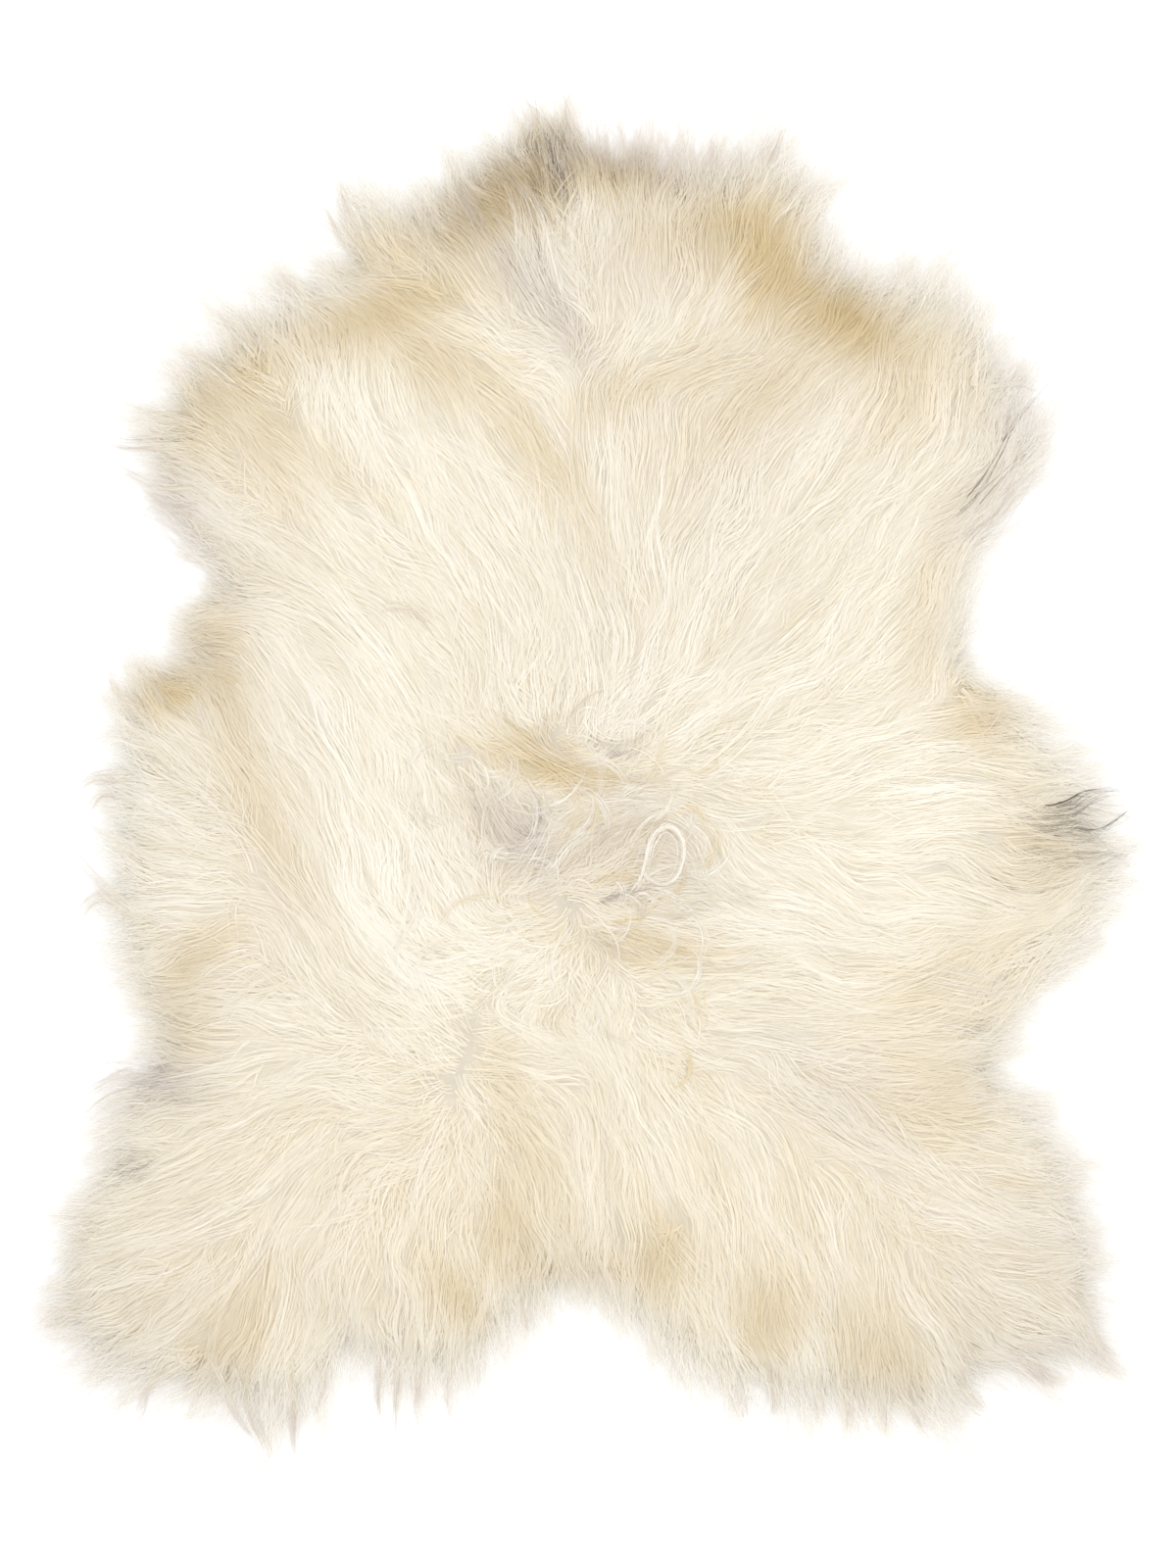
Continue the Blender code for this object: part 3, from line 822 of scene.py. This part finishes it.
def grown_locks(roots, strands, radius, length, spill, clump, root_depth, ragged=0.72, loose=1.0,
                fineness=1.0, lean=LOCK_LEAN):
    """Strands of locks at roots: their places, widths, tilts and colour values.

    A strand is at least ragged times as long as its lock, but ends where it is past
    the ragged edge by about spill. The strands start within radius of the lock's
    middle line, close up towards the tip by clump, sway together and bend a little by
    themselves, more where the lock is loose. Each rises from root_depth under the
    wool's top and lies there, higher in the lock's middle, or sinks past the edge.
    """
    locks = len(roots)
    lock = np.repeat(np.arange(locks), strands)
    count = len(lock)
    paths = grown_paths(roots, luck.normal(0.0, lean, locks))
    share = np.broadcast_to(np.linspace(0.0, 1.0, STRAND_STEPS + 1), (count, STRAND_STEPS + 1))
    offset = luck.normal(0.0, 0.5, count).clip(-1.2, 1.2)
    wave = luck.uniform(*WAVE_SWING, locks)[lock][:, None] * MM
    phase = (3.0 * drift(roots, 160 * MM, 14) + luck.normal(0.0, 0.7, locks))[lock][:, None]
    wave_length = WAVE_LENGTH * luck.uniform(0.7, 1.3, locks)[lock][:, None]
    stray = np.where(luck.random(count) < STRAY_SHARE * loose, STRAY_BEND, STRAND_BEND)
    stray = stray * luck.normal(0.0, loose, count) * MM
    tight = clump[lock][:, None]

    def strand_places(run):
        side = (offset[:, None] * radius * (1.0 - tight * share ** 1.4)
                + wave * share * np.sin(run * math.tau / wave_length + phase)
                + stray[:, None] * (1 - tight) * share ** 2)
        return beside(paths, lock, run, side)

    run = (length[lock] * luck.uniform(ragged, 1.08, count))[:, None] * share
    beyond = -read_grid(ragged_grid, strand_places(run))
    beyond = beyond - (spill[lock] + luck.normal(0.0, 6.0 * loose, count) * MM)[:, None]
    run = np.minimum(crossing(beyond, run), run[:, -1])[:, None] * share
    places = strand_places(run)
    inward = read_grid(distance_grid, places)
    layer = luck.normal(0.0, 0.9, locks)[lock] + luck.normal(0.0, 0.3, count)
    lift = (0.9 * (1.0 - offset ** 2) + layer + 0.1 * np.abs(stray) / MM)[:, None] * MM
    lift = lift - root_depth * (1.0 - np.clip(share / 0.5, 0, 1)) ** 2
    height = wool_top(places) + np.clip(inward / (30 * MM) + 0.5, 0.0, 1.0) * lift
    sink = 0.6 * luck.random(count)[:, None] * np.clip(1 - inward / (15 * MM), 0, 1)
    height = np.maximum(height * (1 - sink), LOWEST)
    width = STRAND_WIDTH * fineness * luck.uniform(0.6, 1.2, count)[:, None]
    width = width * (1 - 0.8 * share ** 1.6)
    tilt = (luck.normal(0.0, 0.14, count) - 0.10 * offset)[:, None] + 0 * share
    tone = (0.42 + 0.25 * drift(roots, 45 * MM, 15) + luck.normal(0, 0.2, locks))[lock]
    scatter = (luck.normal(0, 6, (locks, 2))[lock] + luck.normal(0, 4, (count, 2))) * MM
    places = np.concatenate([places, height[..., None]], axis=-1)
    return places, width, tilt, wool_tones(places, share, tone + luck.normal(0, 0.28, count),
                                           scatter)


def joined(*groups):
    """Groups of strands as one."""
    places, widths, tilts, tones = zip(*groups)
    return (np.concatenate(places), np.concatenate(widths), np.concatenate(tilts),
            {kind: np.concatenate([tone[kind] for tone in tones]) for kind in tones[0]})


def thin_spots(places, cell):
    """Middles of the cells of a square grid, inside the wool, that few strands cross."""
    tops = places[:, 2:, :2].reshape(-1, 2)
    shape = (2 * GRID_HALF / cell).astype(int)
    box = [(-half, half) for half in GRID_HALF]
    counts = np.histogram2d(*tops.T, bins=shape, range=box)[0]
    counts = smoothed(smoothed(counts, 1).T, 1).T
    column, row = np.indices(counts.shape)
    middles = (np.stack([column, row], axis=-1) + 0.5) * cell - GRID_HALF
    inside = read_grid(distance_grid, middles) > 18 * MM
    return middles[inside & (counts < PARTING_SHARE * np.median(counts[inside]))]


lock_wool = wool_material("combed wool", COMBED_LIGHT, COMBED_DEEP, (1.0, 0.4, 1.0))
luck = np.random.default_rng(21)

columns = np.arange(-GRID_HALF[0], GRID_HALF[0], LOCK_PITCH)
rows = np.arange(-GRID_HALF[1], GRID_HALF[1], LOCK_PITCH * math.sqrt(3) / 2)
roots = np.stack(np.meshgrid(columns, rows), axis=-1)
roots[1::2, :, 0] += LOCK_PITCH / 2
roots = roots.reshape(-1, 2)
roots = roots + luck.uniform(-ROOT_JITTER, ROOT_JITTER, roots.shape) * LOCK_PITCH
roots = roots[read_grid(distance_grid, roots) > SKIN_MARGIN]
locks = len(roots)
main_locks = grown_locks(roots, STRANDS_PER_LOCK, LOCK_RADIUS, luck.uniform(*LOCK_LENGTH, locks),
                         luck.normal(*LOCK_SPILL, locks) * MM,
                         luck.uniform(*LOCK_CLUMP, locks), ROOT_DEPTH)

# Short locks cover the skin where the combed wool parts. None of them is dark.
roots = thin_spots(main_locks[0], PARTING_CELL)
roots = roots + luck.uniform(-0.5, 0.5, roots.shape) * PARTING_CELL
short = len(roots)
short_locks = grown_locks(roots, SHORT_STRANDS, SHORT_RADIUS,
                          luck.uniform(*SHORT_LENGTH, short) * MM, np.zeros(short),
                          luck.uniform(*SHORT_CLUMP, short), SHORT_DEPTH, lean=SHORT_LEAN)
short_locks[3]["soot"][:] = 0.0

places, width, tilt, tones = joined(main_locks, short_locks)
order = np.argsort(places[:, 0, 1])
PARTS = ("hind", "loin", "back", "shoulder", "neck")
for part, some in zip(PARTS, np.array_split(order, len(PARTS))):
    ribbons(f"fleece_{part}_locks", places[some], width[some], tilt[some],
            {kind: values[some] for kind, values in tones.items()})

# ------------------------------------------------------------------ the fringe
# Round the edge of the skin, narrow locks hang out past the rest and close to
# points. Finer, shorter fibres fill between them and spread more freely.
# Insets, radii and lengths are in millimetres, and reaches are shares of the edge's.
POINT_PITCH = 14.0 * MM
POINT_STRANDS = 26
POINT_INSET = (25, 55)
POINT_RADIUS = (6, 14)
POINT_LENGTH = (85, 125)
POINT_REACH = (0.1, 1.15)
POINT_CLUMP = (0.35, 0.85)
POINT_DEPTH = 4 * MM
FRINGE_STRANDS = 13000
FRINGE_STEPS = 5
FRINGE_INSET = (8, 56)
FRINGE_REACH = 1.15
FRINGE_LEAN = 0.28
FRINGE_TILT = 0.3
FRINGE_WIDTH = 0.5 * MM
FRINGE_LONGEST = 110 * MM
FRINGE_CRIMP = 38 * MM
FRINGE_ROOM = 34 * MM  # a fibre that strays farther past the solid wool's box is left off

perimeter = np.hypot(*np.diff(wool_edge, axis=0, append=wool_edge[:1]).T).sum()
points = int(perimeter / POINT_PITCH)
around = closed_curve(edge_rows, points)
inset = luck.uniform(*POINT_INSET, points) * MM
roots = around[:, :2] - around[:, 2:4] * inset[:, None] + luck.normal(0, 4, (points, 2)) * MM
radius = luck.uniform(*POINT_RADIUS, (points, 1)).repeat(POINT_STRANDS, axis=0) * MM
length = luck.uniform(*POINT_LENGTH, points) * MM
spill = around[:, 4] * luck.uniform(*POINT_REACH, points)
clump = luck.uniform(*POINT_CLUMP, points)
rim_points = grown_locks(roots, POINT_STRANDS, radius, length, spill, clump, POINT_DEPTH,
                         ragged=0.5, loose=1.3, fineness=0.65)
ribbons("fleece_rim_points", *rim_points)

around = closed_curve(edge_rows, FRINGE_STRANDS)
inset = luck.uniform(*FRINGE_INSET, FRINGE_STRANDS) * MM
roots = around[:, :2] - around[:, 2:4] * inset[:, None]
paths = grown_paths(roots, luck.normal(0.0, FRINGE_LEAN, FRINGE_STRANDS))
spill = (around[:, 4] * FRINGE_REACH + 12 * MM) * luck.random(FRINGE_STRANDS) - 3 * MM
fringe_length = np.minimum(room_ahead(paths, spill), FRINGE_LONGEST)
share = np.linspace(0.0, 1.0, FRINGE_STEPS + 1)
run = fringe_length[:, None] * share
bend = luck.normal(0.0, 8.0, FRINGE_STRANDS)[:, None] * MM * share ** 2
crimp = luck.normal(0.0, 1.2, FRINGE_STRANDS)[:, None] * MM
phase = luck.uniform(0, math.tau, FRINGE_STRANDS)[:, None]
side = bend + crimp * np.sin(run * math.tau / FRINGE_CRIMP + phase)
places = beside(paths, np.arange(FRINGE_STRANDS), run, side)
inward = read_grid(distance_grid, places)
level = luck.uniform(0.25, 1.05, FRINGE_STRANDS)[:, None]
height = wool_top(places) * (level + (1 - level) * np.clip(inward / (40 * MM), 0, 1))
places = np.concatenate([places, np.maximum(height, LOWEST)[..., None]], axis=-1)
width = FRINGE_WIDTH * luck.uniform(0.6, 1.3, FRINGE_STRANDS)[:, None]
width = width * (1 - 0.5 * share ** 1.5)
tones = wool_tones(places, share, luck.normal(0.5, 0.25, FRINGE_STRANDS),
                   luck.normal(0, 6, (FRINGE_STRANDS, 2)) * MM)
tilt = luck.normal(0.0, FRINGE_TILT, FRINGE_STRANDS)[:, None] + 0 * share
low, high = np.array(cad_low)[:2] - FRINGE_ROOM, np.array(cad_high)[:2] + FRINGE_ROOM
kept = ((places[..., :2] > low) & (places[..., :2] < high)).all(axis=(1, 2))
ribbons("fleece_fringe", places[kept], width[kept], tilt[kept],
        {kind: values[kept] for kind, values in tones.items()})

# ------------------------------------------------------------------ curls and tufts
# Some locks show one by one: the curls along the middle of the back, the dark
# tufts at the neck, shoulder and flank, and stray wisps that stand out of the rim.
TUFT_STEPS = 12
WISP_WIDTH = 1.5  # times a tuft's strand
SMALL_CURLS = 105
CURLS_MIDDLE, CURLS_SPREAD = (5, -45), (60, 62)  # millimetres
CURL_TINTS, TINT_SHARES = ("white", "cream", "beige", "amber"), (0.35, 0.25, 0.2, 0.2)
# Each wool colour as its luck, amber, ash and soot. "shade" is no wool colour but
# painted shadow: deep, grey, darkish strands.
TINTS = {
    "cream": (0.3, 0.0, 0.1, 0.0),
    "beige": (0.7, 0.25, 0.3, 0.0),
    "amber": (0.35, 0.45, 0.0, 0.0),
    "grey": (0.5, 0.1, 0.6, 0.03),
    "brown": (0.8, 0.3, 0.5, 0.35),
    "black": (0.8, 0.0, 0.5, 0.95),
    "white": (0.12, 0.0, 0.04, 0.0),
    "shade": (0.8, 0.1, 0.8, 0.14),
    "wisp": (0.6, 0.1, 0.45, 0.04),
}
# A tuft runs through its points, x and y in millimetres. It is wide at its root and
# narrow at its tip, and lift is how high it lies on the wool.
Tuft = namedtuple("Tuft", "tint strands wide narrow lift points")
TUFTS = {
    "fleece_centre_curls": [
        Tuft("white", 20, 5, 4, 6, [(26, -94), (40, -80), (46, -62), (51, -42), (64, -33),
                                    (76, -42), (78, -60), (72, -76), (60, -82), (46, -74),
                                    (42, -60), (46, -44)]),
        Tuft("white", 14, 8, 5, 4, [(28, -66), (44, -34), (66, -24), (86, -42), (90, -72)]),
        Tuft("beige", 20, 8, 3, 3, [(-6, -66), (14, -44), (34, -34), (52, -30), (70, -34)]),
        Tuft("white", 16, 12, 8, 3, [(-62, -78), (-46, -56), (-32, -30), (-20, -6)]),
        Tuft("cream", 22, 8, 4, 3, [(-56, -86), (-32, -72), (-14, -50), (4, -40), (22, -42)]),
        Tuft("white", 6, 4, 2, 4, [(-22, -48), (-25, -68), (-22, -92)]),
        Tuft("amber", 9, 8, 6, 4, [(-24, -62), (-14, -36), (-2, -22), (10, -26)]),
        Tuft("cream", 24, 9, 6, 2, [(8, -14), (38, -12), (72, -18), (104, -42)]),
        Tuft("white", 16, 14, 9, 3, [(16, -28), (48, -14), (84, -22), (114, -40)]),
        Tuft("beige", 26, 9, 5, 2, [(-8, 46), (6, 35), (24, 31), (44, 36), (62, 50)]),
        Tuft("white", 12, 10, 6, 3, [(0, 56), (10, 42), (26, 38), (42, 46)]),
        Tuft("amber", 34, 13, 7, 2, [(-84, 62), (-62, 44), (-34, 24), (0, 8), (34, 0), (64, -3)]),
        Tuft("amber", 18, 8, 3, 3, [(-46, 52), (-36, 32), (-14, 18), (4, 18)]),
        Tuft("beige", 20, 8, 4, 3, [(-30, 60), (-34, 40), (-22, 26), (-2, 26)]),
        Tuft("amber", 26, 9, 5, 2, [(8, -114), (40, -124), (74, -134), (108, -142)]),
        Tuft("amber", 20, 8, 4, 2, [(14, -130), (50, -142), (96, -152)]),
        Tuft("cream", 14, 14, 9, 3, [(22, -104), (56, -110), (90, -118), (122, -122)]),
        Tuft("beige", 20, 8, 4, 2, [(-4, -110), (12, -128), (34, -138), (60, -140)]),
        Tuft("grey", 18, 16, 8, 2, [(-94, 10), (-82, -18), (-68, -44), (-58, -66)]),
        Tuft("grey", 15, 11, 7, 2, [(-50, 6), (-38, -14), (-38, -34), (-54, -50), (-72, -58)]),
        # Painted shadow: two lines of dark grey strands along the shadowed partings in the middle
        # of the back.
        Tuft("shade", 22, 5, 2, 1, [(4, -100), (20, -92), (42, -86), (72, -80)]),
        Tuft("shade", 20, 5, 2, 1, [(8, 32), (20, 25), (34, 25), (52, 32)]),
        Tuft("white", 9, 4, 2, 3, [(-140, 10), (-143, -60), (-150, -110), (-165, -150),
                                   (-160, -195)]),
        Tuft("white", 8, 4, 2, 3, [(-125, -60), (-135, -100), (-155, -140), (-145, -195)]),
    ],
    "fleece_dark_tufts": [
        Tuft("grey", 12, 26, 10, 0, [(288, 204), (322, 226), (344, 254), (362, 290)]),
        Tuft("black", 6, 9, 1, 2, [(286, 204), (316, 230), (336, 262), (356, 300), (400, 352)]),
        Tuft("black", 3, 7, 1, 2, [(304, 210), (338, 248), (380, 290)]),
        Tuft("grey", 10, 8, 2, 1, [(296, 196), (330, 216), (352, 246), (371, 262)]),
        Tuft("black", 6, 8, 1, 2, [(362, -22), (392, -16), (414, -6), (438, -3)]),
        Tuft("black", 5, 7, 1, 2, [(368, -30), (396, -22), (424, -8), (446, -6)]),
        Tuft("black", 6, 8, 2, 1, [(364, -34), (394, -36), (420, -38), (440, -26), (447, -18)]),
        Tuft("brown", 9, 11, 1, 1, [(358, -38), (400, -44), (432, -50)]),
        Tuft("brown", 7, 9, 1, 1, [(378, -54), (420, -56), (454, -61)]),
        Tuft("brown", 14, 12, 6, 1, [(-20, 460), (-22, 490), (-32, 516), (-40, 538)]),
        Tuft("amber", 14, 9, 3, 1, [(-30, 480), (-38, 520), (-46, 560)]),
        Tuft("beige", 12, 9, 3, 1, [(-22, 490), (-28, 525), (-26, 562)]),
        Tuft("cream", 16, 12, 9, 3, [(-50, 420), (-52, 460), (-66, 500)]),
        Tuft("cream", 14, 12, 9, 3, [(-34, 410), (-34, 450), (-50, 492)]),
        Tuft("brown", 5, 5, 2, 1, [(-34, 384), (-54, 408), (-72, 436), (-86, 462)]),
        Tuft("brown", 6, 5, 3, 1, [(-26, 390), (-36, 424), (-46, 462), (-62, 492)]),
        Tuft("white", 16, 9, 7, 3, [(-28, 376), (-46, 410), (-62, 444), (-88, 486)]),
        Tuft("white", 12, 8, 6, 3, [(-18, 384), (-28, 420), (-40, 462), (-70, 506)]),
        Tuft("grey", 18, 12, 6, 1, [(-82, 440), (-96, 470), (-108, 505)]),
        Tuft("grey", 14, 9, 3, 1, [(-345, -238), (-378, -240), (-400, -248), (-420, -262)]),
        Tuft("brown", 10, 4, 1, 1, [(-352, -312), (-366, -314), (-384, -318)]),
    ],
    "fleece_stray_wisps": [
        Tuft("cream", 40, 24, 14, 1, [(258, -150), (298, -160), (334, -166), (366, -160)]),
        Tuft("cream", 30, 20, 12, 1, [(268, -184), (304, -190), (334, -198), (352, -202)]),
        Tuft("wisp", 14, 10, 4, 1, [(-356, -112), (-387, -94), (-406, -77), (-430, -50)]),
        Tuft("wisp", 14, 9, 4, 1, [(-352, -118), (-378, -102), (-398, -92), (-415, -102),
                                    (-420, -128)]),
        Tuft("wisp", 12, 9, 3, 1, [(-352, -22), (-384, -12), (-401, -10), (-412, -28)]),
        Tuft("wisp", 12, 9, 4, 1, [(-360, 5), (-388, 4), (-408, 2), (-426, -10)]),
        Tuft("wisp", 12, 10, 4, 1, [(-358, 56), (-380, 72), (-390, 84), (-391, 99)]),
        Tuft("wisp", 10, 9, 4, 1, [(-346, 58), (-362, 82), (-372, 101)]),
        Tuft("wisp", 14, 11, 4, 1, [(-315, 274), (-350, 279), (-380, 279), (-406, 286)]),
        Tuft("wisp", 12, 10, 4, 1, [(-312, 246), (-345, 244), (-375, 254), (-401, 271)]),
        Tuft("grey", 10, 6, 1, 1, [(-312, 226), (-345, 228), (-376, 246)]),
        Tuft("wisp", 12, 11, 4, 1, [(-305, 288), (-340, 302), (-381, 316)]),
        Tuft("wisp", 12, 11, 4, 1, [(-282, 318), (-312, 344), (-341, 356)]),
        Tuft("wisp", 12, 11, 4, 1, [(-266, 342), (-290, 372), (-306, 391)]),
        Tuft("wisp", 10, 10, 4, 1, [(-254, 346), (-274, 374), (-286, 391)]),
        Tuft("wisp", 14, 12, 4, 1, [(-205, 378), (-236, 404), (-256, 421)]),
        Tuft("wisp", 16, 12, 4, 1, [(-176, 430), (-196, 470), (-206, 499)]),
        Tuft("wisp", 10, 10, 4, 1, [(-180, 424), (-203, 455), (-216, 479)]),
        Tuft("wisp", 16, 12, 4, 1, [(96, 462), (103, 505), (106, 536)]),
        Tuft("wisp", 14, 11, 4, 1, [(112, 462), (121, 505), (125, 536)]),
        Tuft("wisp", 18, 12, 4, 1, [(124, 462), (146, 508), (161, 541)]),
        Tuft("wisp", 12, 11, 4, 1, [(144, 452), (168, 486), (181, 511)]),
        Tuft("wisp", 10, 8, 4, 1, [(322, 322), (352, 330), (373, 324)]),
        Tuft("wisp", 14, 12, 4, 1, [(-340, -462), (-362, -497), (-371, -526)]),
        Tuft("wisp", 20, 10, 2, 1, [(-244, -462), (-243, -512), (-242, -555)]),
        Tuft("wisp", 18, 10, 2, 1, [(-288, -462), (-278, -516), (-259, -562)]),
        Tuft("wisp", 12, 10, 3, 1, [(-306, -466), (-290, -515), (-270, -545)]),
        Tuft("wisp", 12, 11, 3, 1, [(-222, -455), (-216, -490), (-226, -520)]),
        Tuft("wisp", 11, 8, 2, 1, [(-166, -450), (-172, -495), (-171, -526)]),
        Tuft("wisp", 11, 8, 2, 1, [(-154, -450), (-158, -500), (-160, -536)]),
        Tuft("wisp", 12, 8, 2, 1, [(-136, -450), (-140, -500), (-140, -537)]),
        Tuft("wisp", 11, 8, 2, 1, [(-114, -446), (-117, -495), (-115, -531)]),
        Tuft("wisp", 14, 11, 4, 1, [(-92, -436), (-93, -475), (-90, -501)]),
        Tuft("wisp", 14, 10, 4, 1, [(-52, -398), (-50, -432), (-45, -461)]),
        Tuft("wisp", 10, 9, 2, 1, [(108, -465), (124, -504), (130, -531)]),
        Tuft("wisp", 16, 12, 4, 1, [(146, -462), (152, -500), (150, -523)]),
        Tuft("wisp", 11, 9, 2, 1, [(182, -465), (190, -506), (191, -536)]),
        Tuft("wisp", 9, 8, 2, 1, [(206, -470), (213, -506), (215, -536)]),
        Tuft("wisp", 9, 8, 2, 1, [(236, -475), (243, -510), (245, -536)]),
        Tuft("wisp", 11, 9, 2, 1, [(252, -475), (268, -514), (281, -541)]),
        Tuft("wisp", 16, 12, 4, 1, [(292, -475), (316, -506), (331, -521)]),
        Tuft("wisp", 16, 12, 4, 1, [(344, -458), (370, -486), (386, -501)]),
        Tuft("wisp", 18, 12, 4, 1, [(382, -432), (412, -458), (431, -476)]),
        Tuft("wisp", 18, 12, 4, 1, [(-402, -424), (-430, -438), (-451, -449)]),
        Tuft("wisp", 14, 11, 4, 1, [(-352, -258), (-388, -264), (-421, -284)]),
        Tuft("cream", 20, 24, 14, 0, [(304, -246), (332, -250), (358, -258)]),
        Tuft("cream", 20, 24, 14, 0, [(324, -272), (354, -278), (384, -286)]),
    ],
}


def open_curve(points, shares):
    """Places along an open Catmull-Rom curve through points, at shares of its spans."""
    points = np.asarray(points, float) * MM
    ends = np.vstack([2 * points[0] - points[1], points, 2 * points[-1] - points[-2]])
    spans = len(points) - 1
    span = np.minimum((shares * spans).astype(int), spans - 1)
    u = (shares * spans - span)[..., None]
    p, q, r, s = (ends[span + step] for step in range(4))
    return 0.5 * (2 * q + (r - p) * u + (2 * p - 5 * q + 4 * r - s) * u ** 2
                  + (3 * q - p - 3 * r + s) * u ** 3)


def tuft_strands(tuft):
    """Strands beside a tuft's curve, closing up from its wide root to its narrow tip.

    Each strand covers a part of the curve, waves a little and lies on the wool's top,
    highest near its middle. A wisp's strands are wider, and are painted grey past the
    edge, a painted shade in the thin fringe.
    """
    count = tuft.strands
    share = np.linspace(0.0, 1.0, TUFT_STEPS + 1)
    start = luck.uniform(0.0, 0.35, count)[:, None]
    end = luck.uniform(0.65, 1.0, count)[:, None]
    along = start + (end - start) * share
    middle = open_curve(tuft.points, along)
    way = np.gradient(middle, axis=1)
    way = way / np.linalg.norm(way, axis=-1)[..., None]
    spread = tuft.wide * (1 - along) ** 0.8 + tuft.narrow * along
    frizz = luck.uniform(0.2, 1.0, count)[:, None] * np.sin(
        luck.uniform(1.0, 2.5, count)[:, None] * math.tau * along
        + luck.uniform(0, math.tau, count)[:, None])
    side = (luck.normal(0.0, 0.45, count)[:, None] * spread + frizz) * MM
    places = middle + turned(way, math.pi / 2) * side[..., None]
    lift = 1.0 + tuft.lift * np.sin(math.pi * np.clip(along * 0.8 + 0.1, 0, 1))
    inward = read_grid(distance_grid, places)
    lift = lift * np.clip(inward / (20 * MM), 0, 1) + luck.normal(0.0, 0.5, count)[:, None]
    height = np.maximum(wool_top(places) + lift * MM, LOWEST)
    width = STRAND_WIDTH * luck.uniform(0.35, 0.7, count)[:, None] * (1 - 0.75 * share ** 1.6)
    flecks = luck.normal(0.0, 0.25, (4, count))[..., None]
    tones = {kind: value + fleck * (0.3 + value) + 0 * share
             for kind, value, fleck in zip(("luck", "amber", "ash", "soot"),
                                           TINTS[tuft.tint], flecks)}
    if tuft.tint == "wisp":
        width = width * WISP_WIDTH
        # Painted shade: past the edge a wisp turns grey, as the thin fringe does in shade.
        tones["ash"] = tones["ash"] * np.clip(0.2 - inward / (24 * MM), 0.0, 1.0)
    places = np.concatenate([places, height[..., None]], axis=-1)
    return places, width, luck.normal(0.0, 0.2, count)[:, None] + 0 * share, tones


def small_curl():
    """A loose curl: an arc that leaves the wool's lie and turns through up to 200 degrees."""
    start = luck.normal(CURLS_MIDDLE, CURLS_SPREAD) * MM
    way = turned(wool_lie(start), luck.normal(0.0, 0.7))
    bend = luck.choice((-1, 1)) * luck.uniform(0.8, 3.4)
    length = luck.uniform(32, 75)
    turns = bend * np.linspace(0.0, 1.0, 6)
    chord = np.stack([np.sin(turns), 1.0 - np.cos(turns)], axis=-1) / bend * length
    points = start / MM + chord[:, :1] * way + chord[:, 1:] * turned(way, math.pi / 2)
    tint = luck.choice(CURL_TINTS, p=TINT_SHARES)
    return Tuft(str(tint), int(luck.integers(5, 12)), luck.uniform(3, 8), luck.uniform(1, 4),
                luck.uniform(2, 5), [tuple(point) for point in points])


TUFTS["fleece_centre_curls"] += [small_curl() for _ in range(SMALL_CURLS)]
for name, tufts in TUFTS.items():
    ribbons(name, *joined(*[tuft_strands(tuft) for tuft in tufts]))

# ------------------------------------------------------------------ the floor and light
# A plain white studio floor, soft white light from all round and one large disc
# lamp overhead, a little towards the neck and the right flank.
FLOOR_HALF = 4.0
FLOOR_TONE = 0.72
LAMP_SIZE = 2.2
LAMP_POWER = 45.0
LAMP_PLACE = (0.15, 0.15, 2.8)
ROOM_LIGHT = 1.15
BOUNCES = 6

floor = bpy.data.objects.new("floor", bpy.data.meshes.new("floor"))
floor_corners = [(-1, -1, 0), (1, -1, 0), (1, 1, 0), (-1, 1, 0)]
floor.data.from_pydata(np.multiply(floor_corners, FLOOR_HALF), [], [(0, 1, 2, 3)])
bpy.context.scene.collection.objects.link(floor)
floor_paint, floor_shader, _ = new_material("white floor", 0.9, 0.0)
floor_shader.inputs["Base Color"].default_value = (FLOOR_TONE, FLOOR_TONE, FLOOR_TONE, 1.0)
floor.data.materials.append(floor_paint)

lamp = bpy.data.objects.new("overhead lamp", bpy.data.lights.new("overhead lamp", "AREA"))
lamp.data.shape = "DISK"
lamp.data.size = LAMP_SIZE
lamp.data.energy = LAMP_POWER
lamp.location = LAMP_PLACE
x, y, z = LAMP_PLACE
lamp.rotation_euler = (math.atan2(math.hypot(x, y), z), 0.0, math.atan2(x, -y))
bpy.context.scene.collection.objects.link(lamp)

world = bpy.data.worlds.new("soft room")
world.use_nodes = True
room = world.node_tree.nodes["Background"]
room.inputs["Color"].default_value = (1.0, 1.0, 1.0, 1.0)
room.inputs["Strength"].default_value = ROOM_LIGHT
bpy.context.scene.world = world
bpy.context.scene.view_settings.view_transform = "Standard"
bpy.context.scene.cycles.diffuse_bounces = BOUNCES
